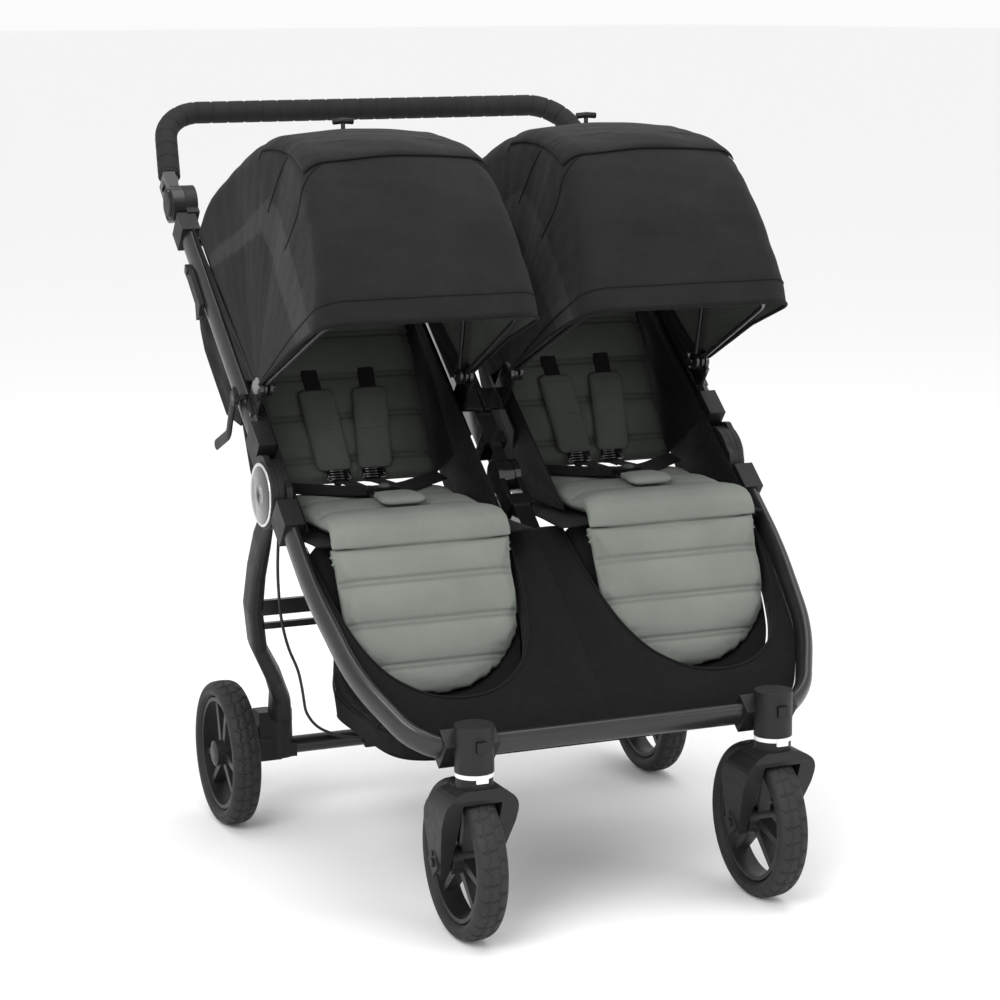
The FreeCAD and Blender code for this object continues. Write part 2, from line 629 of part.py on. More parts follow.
def rear_axle_tube():
    x = SLEEVE_X - 4
    tube = rod(-x, x, REAR_Y, WHEEL_R, AXLE_TUBE_R)
    return tube.cut(rod(-x - 1, x + 1, REAR_Y, WHEEL_R, AXLE_TUBE_R - 2))


def leg_bar(y, z, h, t):
    x = 346.0
    bar_solid = box(-x, x, y - t / 2, y + t / 2, z - h / 2, z + h / 2)
    leg = rear_leg()
    return bar_solid.cut(leg).cut(mirror(leg))


def leg_bars():
    """Deep brace and slim rod between the rear legs."""
    return Part.makeCompound([leg_bar(36.0, 362.0, 22.0, 10.0), leg_bar(50.0, 332.0, 9.0, 9.0)])


CABLE_R = 2.2


def brake_cable():
    """Held cable from the hinge down inside the leg to the middle of the rear axle."""
    points = [(-334.5, -22, 480), (-331, -2, 420), (-324, 10, 352), (-306, 34, 300),
              (-280, 68, 258), (-258, 116, 214), (-240, 156, 166), (-216, 174, 136),
              (-176, 180, 116), (-140, 182, 110)]
    radii = []
    for i in range(1, len(points) - 1):
        a = V(*points[i - 1]) - V(*points[i])
        b = V(*points[i + 1]) - V(*points[i])
        turn = math.pi - a.getAngle(b)
        radii.append(min(0.45 * min(a.Length, b.Length) / math.tan(turn / 2), 400.0))
    path = rounded(points, radii)
    print("cable length %.1f, radii %s" % (path.Length, [round(r, 1) for r in radii]))
    return sweep(path, ring_at(path, CABLE_R))


def brake_box():
    """Brake actuator at the middle of the rear axle, clamped on its tube."""
    y, z = REAR_Y, WHEEL_R
    body = box(-138, 138, y - 22, y - AXLE_TUBE_R, z - 12, z + 12)
    return body.fuse(box(-40, 40, y - 24, y - AXLE_TUBE_R, z - 16, z + 18))


# ---- seats --------------------------------------------------------------------------
def seat_cushion():
    x = SEAT_X
    w = SEAT_W / 2
    y0, y1, z1 = SEAT_FRONT_Y, SEAT_BACK_Y - 10.0, SEAT_Z
    body = prism_x([(y0 + 10, z1), (y1, z1 - 8), (y1, z1 - 8 - SEAT_T), (y0 + 16, z1 - SEAT_T),
                    (y0, z1 - SEAT_T + 4), (y0, z1 - 10)], -x - w, -x + w)
    return body


CALF_ANGLE = 67.0
CALF_W = 256.0
CALF_Y = SEAT_FRONT_Y + CALF_T / 2
CALF_Z = SEAT_Z - SEAT_T - CALF_T / 2 - 1.0


def calf_outline(w, length):
    r = w / 2
    return [(-r, 0), (-r, -(length - r) * 0.55)] + arc_points(0, -(length - r * 0.95), r * 0.95,
                                                              180, 360, 16) + \
        [(r, -(length - r) * 0.55), (r, 0)]


def calf_frame(shape):
    """From the rest's own plane to the front edge of the seat."""
    return lean(shape, CALF_ANGLE, CALF_Y, CALF_Z)


def calf_pad():
    """Padded rest that hangs from the front edge of the seat and can be lifted."""
    body = plate(calf_outline(CALF_W, CALF_LEN), -CALF_T / 2, CALF_T / 2)
    body.translate(V(-SEAT_X, 0, 0))
    edge = rod(-SEAT_X - CALF_W / 2, -SEAT_X + CALF_W / 2, CALF_Y, CALF_Z, 8)
    return calf_frame(body).fuse(edge).removeSplitter()


SIDE_T = 2.4


def seat_sides():
    """Fabric walls beside one seat, from the rails down to the cushion."""
    outline = [(-150, SEAT_Z - 24), (SEAT_BACK_Y - 6, SEAT_Z - 30), (SEAT_BACK_Y + 34, SEAT_Z + 18),
               (SEAT_BACK_Y + 84, SEAT_Z + 118), (SEAT_BACK_Y + 149, SEAT_Z + 248),
               (SEAT_BACK_Y + 149, SEAT_Z + 264), (-150, SEAT_Z - 19)]
    x = SEAT_X + SEAT_W / 2 + 5.6
    inner = -SEAT_X + SEAT_W / 2 + 8.0
    return Part.makeCompound([prism_x(outline, -x - SIDE_T, -x), prism_x(outline, inner, inner + SIDE_T)])


BACK_T = 20.0
BACK_Y = SEAT_BACK_Y + 4.0
BACK_Z = SEAT_Z - 14.0


def back_place(shape):
    """Local (x, up the back, out of the back's front) to the seat back."""
    out = shape.copy()
    out.rotate(V(0, 0, 0), V(1, 0, 0), BACK_LEAN)
    out.translate(V(0, BACK_Y, BACK_Z))
    return out


def back_pad():
    w = SEAT_W / 2
    body = plate([(-w, 1), (w, 1), (w - 6, BACK_LEN - 40), (w - 30, BACK_LEN), (30 - w, BACK_LEN),
                  (6 - w, BACK_LEN - 40)], 0, BACK_T)
    body.translate(V(-SEAT_X, 0, 0))
    edge = rod(-SEAT_X - w + 2, -SEAT_X + w - 2, BACK_Y, BACK_Z, 3.2)
    return back_place(body).fuse(edge)


def harness_pads():
    """Two shoulder pads of one seat."""
    out = []
    for side in (-1, 1):
        top, low = side * 42.0, side * 31.0
        pts = [(top - 28, 150), (top + 28, 150), (low + 27, 24), (low - 27, 24)]
        body = plate(pts, BACK_T + 0.4, BACK_T + 13)
        body.translate(V(-SEAT_X, 0, 0))
        out.append(back_place(body))
    return Part.makeCompound(out)


def harness_straps():
    """Webbing from the shoulder pads to the buckle and across the lap."""
    out = []
    for side in (-1, 1):
        pts = [(side * 31 - 12, 23.4), (side * 31 + 12, 23.4), (side * 22 + 11, 7), (side * 22 - 11, 7)]
        body = plate(pts, BACK_T + 3, BACK_T + 6)
        body.translate(V(-SEAT_X, 0, 0))
        out.append(back_place(body))
    return Part.makeCompound(out)


BUCKLE_Y = SEAT_BACK_Y - 128.0


def crotch_pad():
    z = SEAT_Z + 2
    body = box(-SEAT_X - 38, -SEAT_X + 38, BUCKLE_Y - 85, BUCKLE_Y - 20, z, z + 16)
    return body


def buckle():
    z = SEAT_Z + 2
    body = box(-SEAT_X - 26, -SEAT_X + 26, BUCKLE_Y - 18, BUCKLE_Y + 22, z, z + 15)
    return body.cut(rod_z(-SEAT_X, BUCKLE_Y + 1, z + 9, z + 16, 10.3))


def rod_z(x, y, z0, z1, r):
    return Part.makeCylinder(r, z1 - z0, V(x, y, z0))


def buckle_button():
    z = SEAT_Z + 2
    return rod_z(-SEAT_X, BUCKLE_Y + 1, z + 12, z + 17.5, 10)


def inset_side(gap):
    """Inner outline of the left side tube, offset from its axis by the gap."""
    corners = side_corners()
    lines = []
    for (x0, s0), (x1, s1) in zip(corners, corners[1:]):
        n = math.hypot(x1 - x0, s1 - s0)
        dx, ds = (x1 - x0) / n, (s1 - s0) / n
        lines.append((x0 - ds * gap, s0 + dx * gap, dx, ds))
    points = [lines[0][:2]]
    for (ax, ay, ux, uy), (bx, by, vx, vy) in zip(lines, lines[1:]):
        k = ((bx - ax) * vy - (by - ay) * vx) / (ux * vy - uy * vx)
        points.append((ax + ux * k, ay + uy * k))
    wire = rounded([(x, s, 0) for x, s in points + [(-FRONT_X - PLUG, lines[-1][1])]],
                   [r - gap for r in SIDE_RADII])
    out = []
    for edge in wire.Edges:
        count = 8 if isinstance(edge.Curve, Part.Circle) else 1
        a, b = edge.FirstParameter, edge.LastParameter
        row = [edge.valueAt(a + (b - a) * i / count) for i in range(count + 1)]
        if out and (row[0] - out[-1]).Length > 1e-4:
            row.reverse()
        out += row[1:] if out else row
    return [(p.x, p.y) for p in out]


def apron():
    """Fabric front between the side tubes, with an opening for each calf rest."""
    edge = TUBE_X - TUBE_W / 2 - 1
    side = [(x, s) for x, s in inset_side(TUBE_W / 2 + 1) if s < -118.5]
    outer = [(-edge, -118)] + side
    outer += [(-x, s) for x, s in reversed(outer)]
    body = plate(outer, APRON_H - APRON_T / 2, APRON_H + APRON_T / 2)
    half = [(150, -60), (148, -118), (141, -200), (133, -250), (119, -305), (94, -353), (50, -385)]
    hole = [(-x, s) for x, s in half] + [(0, -394)] + list(reversed(half))
    for side in (-1, 1):
        body = body.cut(plate([(side * SEAT_X + x, s) for x, s in hole], APRON_H - 9, APRON_H + 9))
    body = body.common(Part.makeBox(2 * edge, 1000, 40, V(-edge, -900 + 0, 0)))
    for side in (-1, 1):
        hold = caster_housing() if side < 0 else mirror(caster_housing())
        body = body.cut(lean_back(hold))
    return on_slope(body)


def lean_back(shape):
    out = shape.copy()
    out.translate(V(0, -HUB_Y, -HUB_Z))
    out.rotate(V(0, 0, 0), V(1, 0, 0), -FRAME_TILT)
    return out


def basket():
    """Storage tub under the seats, open at the top."""
    def section(y0, y1, w, z, inset):
        w, y0, y1 = w - inset, y0 + inset, y1 - inset
        c = 30
        return Part.makePolygon([V(x, y, z + dz) for x, y, dz in (
            (-w + c, y0, 0), (w - c, y0, 0), (w, y0 + c, 0), (w, y1 - c, 0), (w - c, y1, 0),
            (-w + c, y1, 0), (-w, y1 - c, 0), (-w, y0 + c, 0), (-w + c, y0, 0))])
    w = BASKET_W / 2
    levels = [(-238, 96, w, 186), (-252, 100, w + 12, 236), (-226, 60, w + 16, 322)]
    outer = Part.makeLoft([section(a, b, c, z, 0) for a, b, c, z in levels], True, True)
    levels = [(-238, 96, w, 189), (-252, 100, w + 12, 236), (-226, 60, w + 16, 323)]
    inner = Part.makeLoft([section(a, b, c, z, 3) for a, b, c, z in levels], True, True)
    return outer.cut(inner)


# ---- canopies -----------------------------------------------------------------------
def hood_section(angle, w_low, w_top, r_top, corner, inset, low=26.0):
    """Inverted U in the plane through the pivot axis at the given angle."""
    w0, w1, r, c = w_low - inset, w_top - inset, r_top - inset, corner - inset
    lean_in = (w0 - w1) / (r - c - low)
    pts = [(-w0, low), (-w0 + lean_in * (r - c - low) * 0.5, low + (r - c - low) * 0.5)]
    pts += arc_points(-w1 + c, r - c, c, 180, 90, 6)
    pts.append((0, r + 5 - inset * 0.0))
    pts += [(-x, q) for x, q in reversed(pts[:-1])]
    a = math.radians(angle)
    return [V(-SEAT_X + x, CANOPY_Y + q * math.cos(a), CANOPY_Z + q * math.sin(a)) for x, q in pts]


HOOD = [                 # angle, half width low, half width top, radius, corner radius
    (156.0, 160.0, 146.0, 300.0, 62.0),
    (134.0, 160.0, 143.0, 326.0, 52.0),
    (113.0, 160.0, 132.0, 347.0, 40.0),
    (95.0, 160.0, 130.0, 347.0, 36.0),
    (78.0, 160.0, 130.0, 346.0, 36.0),
    (60.0, 160.0, 138.0, 362.0, 40.0),
    (44.0, 160.0, 152.0, 372.0, 36.0),
    (34.0, 160.0, 156.0, 368.0, 30.0)]


def hood_shell(rows):
    """Thin closed shell through neighbouring sections, built strip by strip."""
    faces_out, faces_in = [], []
    rings = []
    for angle, w0, w1, r, c in rows:
        outer = hood_section(angle, w0, w1, r, c, 0.0)
        inner = hood_section(angle, w0, w1, r, c, FABRIC_T)
        rings.append(outer + list(reversed(inner)))
    wires = [Part.makePolygon(ring + ring[:1]) for ring in rings]
    return Part.makeLoft(wires, True, True)


def hood_front():
    return hood_shell([HOOD[0], HOOD[1], (113.4,) + HOOD[2][1:]])


def hood_rear():
    """Rear part of the hood, with the small pull standing on its top."""
    return hood_shell(HOOD[2:]).fuse(canopy_toggle())


def bow(angle, w_low, w_top, r_top, corner, eye_x):
    """Spring bow inside the hood, with a round eye at each end."""
    a = math.radians(angle)
    gap = FABRIC_T + BOW_R + 4.0
    w0, w1, r, c = eye_x, w_top - gap, r_top - gap, corner
    pts = [(-w0, 12), (-w1, r), (w1, r), (w0, 12)]
    path = rounded([(-SEAT_X + x, CANOPY_Y + q * math.cos(a), CANOPY_Z + q * math.sin(a))
                    for x, q in pts], [c, c])
    body = sweep(path, ring_at(path, BOW_R))
    for side in (-1, 1):
        x = -SEAT_X + side * eye_x
        body = body.fuse(rod(x - 2.2, x + 2.2, CANOPY_Y, CANOPY_Z, 13))
        body = body.cut(rod(x - 4, x + 4, CANOPY_Y, CANOPY_Z, 4 + AXLE_PLAY))
    return body.removeSplitter()


def front_bow():
    return bow(155.0, 160, 146, 300, 60, 151.6)


def middle_bow():
    return bow(112.0, 160, 132, 347, 40, 143.0)


def canopy_mount(x, side):
    """Bracket on a rail with the pin for the bow eyes; side is +1 towards +X."""
    x0, x1 = sorted((x, x + side * 5.0))
    s, h = 131.7, 76.4
    h0 = TUBE_RISE + TUBE_H / 2 - 6
    tip = Part.makeCylinder(15, x1 - x0, V(x0, s, h), V(1, 0, 0))
    stalk = Part.makeBox(x1 - x0, 40, h - h0, V(x0, s - 20, h0))
    pin0, pin1 = sorted((x, x - side * 20.0))
    pin = Part.makeCylinder(4, pin1 - pin0, V(pin0, s, h), V(1, 0, 0))
    return tip.fuse(stalk).fuse(pin)


def outer_mount():
    x = -SEAT_X - 155.4
    body = on_slope(canopy_mount(x, -1).fuse(
        Part.makeBox(18, 40, 4, V(x - 14, 111.7, TUBE_RISE + TUBE_H / 2 - 4))))
    return body.cut(upper_tube_full())


def inner_mount():
    x = -SEAT_X + 155.4
    foot = Part.makeBox(abs(x) - 2, 40, 5, V(x, 111.7, 19))
    stalk = Part.makeBox(5, 40, 60, V(x, 111.7, 19))
    body = canopy_mount(x, 1).fuse(foot).fuse(stalk)
    tube = Part.makeBox(CENTRE_W, 420, CENTRE_H, V(-CENTRE_W / 2, ARM_END,
                                                  APRON_H - APRON_T / 2 - 0.3 - CENTRE_H))
    return on_slope(body.cut(tube).removeSplitter())


def canopy_mounts():
    return Part.makeCompound([outer_mount(), inner_mount()])


def canopy_toggle():
    """Small T-shaped pull on the top of each hood."""
    a = math.radians(78)
    y, z = CANOPY_Y + 351 * math.cos(a), CANOPY_Z + 351 * math.sin(a)
    return post(-SEAT_X, y + 4, z + 1.2, z + 9, 3).fuse(box(-SEAT_X - 12, -SEAT_X + 12, y, y + 8,
                                                           z + 8, z + 14))


# ---- all pieces ---------------------------------------------------------------------
def both(make):
    """A piece and its twin on the other side, as two separate solids."""
    left = make()
    return Part.makeCompound([left, mirror(left)])


def buckle_set():
    """Buckle and padded crotch strap of each seat."""
    return both(lambda: Part.makeCompound([buckle(), crotch_pad()]))


def harness():
    return Part.makeCompound([harness_pads(), harness_straps()])


SINGLE = {
    "lower_side_tubes": lambda: both(lower_side_tube),
    "front_crossbar": front_crossbar,
    "lower_centre_rail": lower_centre_rail,
    "lower_hinges": lambda: both(lower_hinge),
    "caster_housings": lambda: both(caster_housing),
    "lock_rings": lambda: both(lock_ring),
    "apron": apron,
    "basket": basket,
    "buckles": buckle_set,
    "rear_legs": lambda: both(rear_leg),
    "axle_castings": lambda: both(axle_casting),
    "rear_axle_tube": rear_axle_tube,
    "leg_bars": leg_bars,
    "brake_cable": brake_cable,
    "brake_box": brake_box,
    "upper_side_tubes": upper_tubes,
    "upper_centre_rail": upper_centre_rail,
    "upper_hinges": lambda: both(upper_hinge),
    "cross_tube": rear_cross_tube,
    "handle_bases": lambda: both(handle_base),
    "handle_bar": handle_bar,
    "handle_grip": handle_grip,
    "canopy_mounts": lambda: both(canopy_mounts),
    "auto_lock": auto_lock,
    "brake_lever": brake_lever,
}
PAIRED = {
    "front_tyre": lambda: tyre(-FRONT_X, FRONT_Y, WHEEL_R),
    "front_rim": lambda: rim(-FRONT_X, FRONT_Y, WHEEL_R, 24.0),
    "fork": fork,
    "swivel_lock": swivel_lock,
    "rear_tyre": lambda: tyre(-REAR_X, REAR_Y, WHEEL_R),
    "rear_rim": rear_rim,
    "handle_button": handle_button,
    "seat_cushion": seat_cushion,
    "seat_sides": seat_sides,
    "calf_pad": calf_pad,
    "back_pad": back_pad,
    "harness": harness,
    "buckle_button": buckle_button,
    "hood_front": hood_front,
    "hood_rear": hood_rear,
    "front_bow": front_bow,
    "middle_bow": middle_bow,
}


def main():
    os.makedirs("parts", exist_ok=True)
    for name, make in SINGLE.items():
        make().exportStep("parts/%s.step" % name)
    for name, make in PAIRED.items():
        left = make()
        left.exportStep("parts/%s_left.step" % name)
        mirror(left).exportStep("parts/%s_right.step" % name)


main()
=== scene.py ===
import math

import bmesh
import bpy
import numpy as np
from mathutils import Matrix, Vector


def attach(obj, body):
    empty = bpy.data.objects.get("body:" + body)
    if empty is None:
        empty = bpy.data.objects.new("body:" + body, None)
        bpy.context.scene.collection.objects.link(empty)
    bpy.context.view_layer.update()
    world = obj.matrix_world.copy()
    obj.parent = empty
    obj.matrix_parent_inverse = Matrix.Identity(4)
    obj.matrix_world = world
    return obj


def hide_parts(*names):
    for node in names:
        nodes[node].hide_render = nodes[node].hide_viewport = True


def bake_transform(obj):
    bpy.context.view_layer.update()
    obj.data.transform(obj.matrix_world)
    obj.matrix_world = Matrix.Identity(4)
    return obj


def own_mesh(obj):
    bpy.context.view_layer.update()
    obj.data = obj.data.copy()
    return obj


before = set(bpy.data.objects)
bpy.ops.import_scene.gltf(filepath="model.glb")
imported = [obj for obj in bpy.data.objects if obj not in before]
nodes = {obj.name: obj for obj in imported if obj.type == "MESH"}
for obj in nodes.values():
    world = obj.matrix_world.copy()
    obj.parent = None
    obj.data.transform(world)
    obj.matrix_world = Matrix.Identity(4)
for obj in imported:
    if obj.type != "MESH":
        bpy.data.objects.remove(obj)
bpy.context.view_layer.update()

# ---- studio -------------------------------------------------------------------------
# A long pale floor under soft studio light: a wide key from the upper left, a broad top
# light and a weak fill from the right. The camera stands ahead and to the left.
def studio_camera():
    """Camera at its place, turned by azimuth, elevation and roll: back looks from the
    stroller to the camera, right and up follow from it."""
    azimuth, elevation, roll = np.radians([-22.726, 10.42, -0.378])
    back = np.array([np.sin(azimuth) * np.cos(elevation), -np.cos(azimuth) * np.cos(elevation),
                     np.sin(elevation)])
    right = np.cross([0.0, 0.0, 1.0], back)
    right /= np.linalg.norm(right)
    up = np.cross(back, right)
    right, up = right * np.cos(roll) + up * np.sin(roll), up * np.cos(roll) - right * np.sin(roll)
    place = np.eye(4)
    place[:3, :3] = np.stack([right, up, back], axis=1)
    place[:3, 3] = (-1.49181, -3.590734, 1.213142)
    data = bpy.data.cameras.new("studio_camera")
    data.lens, data.sensor_width = 97.7, 36.0
    camera = bpy.data.objects.new("studio_camera", data)
    bpy.context.scene.collection.objects.link(camera)
    camera.matrix_world = Matrix(place.tolist())
    bpy.context.scene.camera = camera


def soft_light(name, spot, aim, size, power):
    """Round area light at a spot, facing the aim; size in metres, power in watts."""
    data = bpy.data.lights.new(name, "AREA")
    data.shape, data.size, data.energy = "DISK", size, power
    lamp = bpy.data.objects.new(name, data)
    bpy.context.scene.collection.objects.link(lamp)
    turn = (Vector(spot) - Vector(aim)).to_track_quat("Z", "Y")
    lamp.matrix_world = Matrix.Translation(spot) @ turn.to_matrix().to_4x4()


studio_camera()
soft_light("key_light", (-2.6, -2.6, 3.0), (0.0, -0.1, 0.5), 2.2, 92.0)
soft_light("top_light", (0.3, -0.6, 3.6), (0.0, 0.0, 0.5), 3.0, 52.0)
soft_light("fill_light", (2.6, -3.2, 1.4), (0.0, 0.0, 0.5), 2.0, 22.0)
world = bpy.data.worlds.new("studio")
world.use_nodes = True
world.node_tree.nodes["Background"].inputs["Color"].default_value = (1.0, 1.0, 1.0, 1.0)
world.node_tree.nodes["Background"].inputs["Strength"].default_value = 0.97
bpy.context.scene.world = world
bpy.context.scene.view_settings.view_transform = "Standard"


def new_mesh(name, points, faces, material=None, smooth=True):
    """Mesh object from an array of points and an array (or list) of faces."""
    data = bpy.data.meshes.new(name)
    data.from_pydata(np.asarray(points, float).reshape(-1, 3).tolist(), [],
                     faces.tolist() if isinstance(faces, np.ndarray) else faces)
    data.update()
    data.shade_smooth() if smooth else data.shade_flat()
    piece = bpy.data.objects.new(name, data)
    bpy.context.scene.collection.objects.link(piece)
    if material:
        data.materials.append(material)
    return piece


class Recipe:
    """Node material built step by step; node, noise, remap and math return what they add."""

    def __init__(self, name, colour, rough, metal=0.0, coat=0.0, sheen=0.0, specular=0.4):
        self.material = bpy.data.materials.new(name)
        self.material.use_nodes = True
        self.tree = self.material.node_tree
        self.shader = self.tree.nodes["Principled BSDF"]
        put = self.shader.inputs
        put["Base Color"].default_value = (*colour, 1.0)
        put["Roughness"].default_value = rough
        put["Metallic"].default_value = metal
        put["Coat Weight"].default_value = coat
        put["Coat Roughness"].default_value = 0.12
        put["Sheen Weight"].default_value = sheen
        put["Sheen Roughness"].default_value = 0.45
        put["Specular IOR Level"].default_value = specular
        self.place = self.tree.nodes.new("ShaderNodeTexCoord").outputs["Object"]

    def node(self, kind, links=None, **values):
        made = self.tree.nodes.new(kind)
        for key, value in values.items():
            setattr(made, key, value)
        for key, value in (links or {}).items():
            if isinstance(value, bpy.types.NodeSocket):
                self.tree.links.new(value, made.inputs[key])
            else:
                made.inputs[key].default_value = value
        return made

    def noise(self, scale, detail):
        return self.node("ShaderNodeTexNoise", {"Vector": self.place, "Scale": scale,
                                                "Detail": detail}).outputs["Fac"]

    def remap(self, value, low, high, from_low=0.3, from_high=0.7):
        return self.node("ShaderNodeMapRange", {"Value": value, "From Min": from_low,
                                                "From Max": from_high, "To Min": low,
                                                "To Max": high}).outputs["Result"]

    def math(self, operation, a, b):
        return self.node("ShaderNodeMath", {0: a, 1: b}, operation=operation).outputs[0]

    def tint(self, share, first, second):
        """Base colour that runs from the first to the second colour."""
        mix = self.node("ShaderNodeMix", {"Factor": share}, data_type="RGBA")
        mix.inputs[6].default_value, mix.inputs[7].default_value = (*first, 1.0), (*second, 1.0)
        self.tree.links.new(mix.outputs[2], self.shader.inputs["Base Color"])

    def rough(self, value):
        self.tree.links.new(value, self.shader.inputs["Roughness"])

    def relief(self, height, depth, edge=0.0):
        """Bump of that depth in metres, over edges rounded by the given radius."""
        links = {"Height": height, "Distance": depth, "Strength": 1.0}
        if edge:
            links["Normal"] = self.node("ShaderNodeBevel", {"Radius": edge}, samples=4).outputs["Normal"]
        bump = self.node("ShaderNodeBump", links)
        self.tree.links.new(bump.outputs["Normal"], self.shader.inputs["Normal"])


def hard_finish(name, colour, rough, grain, depth, edge=0.0008, spread=0.25, **kind):
    """Paint or moulded plastic: slightly uneven colour and gloss, fine grain, soft edges."""
    made = Recipe(name, colour, rough, **kind)
    light = [min(1.0, c * (1.0 + spread)) for c in colour]
    made.tint(made.remap(made.noise(9.0, 4.0), 0.0, 1.0), colour, light)
    made.rough(made.remap(made.noise(60.0, 5.0), rough - 0.05, rough + 0.06))
    made.relief(made.noise(grain, 2.0), depth, edge)
    return made.material


floor_paint = hard_finish("floor_paint", (0.93, 0.93, 0.93), 0.9, 40.0, 0.0002, edge=0.0, spread=0.0)
floor = new_mesh("floor", [(-60, -12, 0), (60, -12, 0), (60, 120, 0), (-60, 120, 0)], [(0, 1, 2, 3)],
                 floor_paint, smooth=False)

# ---- frame tubes and castings ---------------------------------------------------------
# Oval aluminium tubes, drawn and powder coated in satin graphite. The hinge halves,
# sockets and leg mouldings are grained nylon, a shade darker, pinned to the tube ends.
tube_paint = hard_finish("tube_paint", (0.016, 0.016, 0.0175), 0.36, 900.0, 0.00003, edge=0.0006,
                         metal=0.35, coat=0.25)
nylon = hard_finish("grained_nylon", (0.0075, 0.0075, 0.0082), 0.5, 1500.0, 0.00006, edge=0.0013,
                    specular=0.3)
gloss_nylon = hard_finish("gloss_nylon", (0.006, 0.006, 0.0065), 0.14, 300.0, 0.00002, edge=0.0012,
                          coat=0.6)
dark_steel = hard_finish("dark_steel", (0.05, 0.05, 0.052), 0.36, 700.0, 0.00003, edge=0.0004,
                         metal=0.9)
white_nylon = hard_finish("white_nylon", (0.78, 0.78, 0.77), 0.4, 800.0, 0.00003, edge=0.0006,
                          spread=0.04)
cable_jacket = hard_finish("cable_jacket", (0.01, 0.01, 0.01), 0.5, 900.0, 0.00005, edge=0.0)

FINISHES = {
    tube_paint: ["lower_side_tubes", "front_crossbar", "upper_side_tubes", "handle_bar"],
    nylon: ["lower_hinges", "caster_housings", "rear_legs", "axle_castings", "upper_hinges",
            "handle_bases", "auto_lock", "brake_lever", "fork_left", "fork_right", "swivel_lock_left",
            "swivel_lock_right", "handle_button_left", "handle_button_right", "brake_box"],
    gloss_nylon: ["lower_centre_rail", "upper_centre_rail", "canopy_mounts", "buckles",
                  "buckle_button_left", "buckle_button_right"],
    dark_steel: ["rear_axle_tube", "leg_bars", "cross_tube", "front_bow_left", "front_bow_right",
                 "middle_bow_left", "middle_bow_right"],
    white_nylon: ["lock_rings"],
    cable_jacket: ["brake_cable"],
}


def dress(piece, material):
    """Gives a piece this one material."""
    piece.data.materials.clear()
    piece.data.materials.append(material)


for material, names in FINISHES.items():
    for name in names:
        dress(nodes[name], material)

# ---- wheels ---------------------------------------------------------------------------
# Four foam-filled rubber tyres, moulded with a zigzag block tread, pressed on nylon rims
# with three pairs of spokes. The side walls carry a raised bead line and shoulder ribs.
WHEEL_R, TYRE_HALF, TYRE_MID, TYRE_DEEP = 0.108, 0.021, 0.096, 0.012
rubber = hard_finish("tyre_rubber", (0.009, 0.009, 0.0095), 0.66, 1200.0, 0.00012, edge=0.0,
                     spread=0.5)
rim_nylon = hard_finish("rim_nylon", (0.009, 0.009, 0.0098), 0.46, 1300.0, 0.00006, edge=0.0012)
WHEELS = {"front": (0.218, -0.4215), "rear": (0.350, 0.1985)}


def bend_power(value, power):
    """Power of the size of a value, with its sign kept."""
    return np.sign(value) * np.abs(value) ** power


def grid_faces(rows, columns, close_rows=False, close_columns=False):
    """Quads of a grid of points, row by row; either way round may join its ends."""
    r = np.arange(rows if close_rows else rows - 1)
    c = np.arange(columns if close_columns else columns - 1)
    r, c = (g.ravel() for g in np.meshgrid(r, c, indexing="ij"))
    r1, c1 = (r + 1) % rows, (c + 1) % columns
    return np.stack([r * columns + c, r * columns + c1, r1 * columns + c1, r1 * columns + c], axis=1)


def zigzag(turns):
    """Triangle wave between -1 and 1."""
    return 2.0 * np.abs(2.0 * (turns % 1.0) - 1.0) - 1.0


def tread(turn, across):
    """Share of groove at an angle (in turns) and a place across the crown: two zigzag
    lines round the tyre, slanting cuts to each shoulder and short cuts in the middle."""
    def cut(distance, half):
        return np.clip(1.4 - np.abs(distance) / half, 0.0, 1.0)

    side = np.abs(across)
    line = cut(side - 0.0062 - 0.0014 * zigzag(turn * 30), 0.0010)
    pitch = 2 * math.pi * WHEEL_R / 30
    shift = np.where(across > 0, 0.5, 0.0)
    slant = (turn * 30 + shift + 26.0 * (side - 0.006)) % 1.0 - 0.5
    shoulder = cut(slant * pitch, 0.0012) * (side > 0.006) * np.clip((0.0195 - side) / 0.002, 0, 1)
    half_slant = (turn * 30 + shift + 0.42 - 40.0 * (side - 0.006)) % 1.0 - 0.5
    nick = cut(half_slant * pitch, 0.0009) * (side > 0.0085) * np.clip((0.0155 - side) / 0.001, 0, 1)
    middle = (turn * 30 + 18.0 * across + 0.25) % 1.0 - 0.5
    centre = cut(middle * pitch, 0.0010) * (side < 0.0055)
    return np.maximum.reduce([line, shoulder, nick, centre])


def tyre(name, centre):
    """Closed ring about the wheel axle. Its section is a squared oval; on the crown the
    radius drops by 2 mm wherever the tread function says groove."""
    turn = np.linspace(0, 1, 600, endpoint=False)[:, None]
    t = np.linspace(-0.5 * np.pi, 1.5 * np.pi, 72, endpoint=False)[None, :]
    across = TYRE_HALF * bend_power(np.cos(t), 0.72) * np.ones_like(turn)
    rise = bend_power(np.sin(t), 0.82) * np.ones_like(turn)
    crown = np.clip((rise - 0.35) / 0.3, 0, 1)
    groove = tread(turn, across) * crown
    ribs = 0.0005 * np.clip(zigzag(turn * 120), 0, 1) * ((rise > -0.05) & (rise < 0.25))
    bead = 0.0006 * np.exp(-((rise + 0.45) / 0.08) ** 2)
    radius = TYRE_MID + (TYRE_DEEP - 0.0022 * groove) * rise
    across = across * (1 - 0.035 * groove) + np.sign(across) * (ribs + bead)
    angle = turn * 2 * np.pi
    points = np.stack([across + centre[0], centre[1] + radius * np.cos(angle),
                       centre[2] + radius * np.sin(angle)], axis=-1)
    return new_mesh(name, points, grid_faces(600, 72, True, True), rubber)


def face_outwards(piece):
    """Turns every face of a closed piece outwards."""
    made = bmesh.new()
    made.from_mesh(piece.data)
    bmesh.ops.recalc_face_normals(made, faces=made.faces)
    made.to_mesh(piece.data)
    made.free()
    return piece


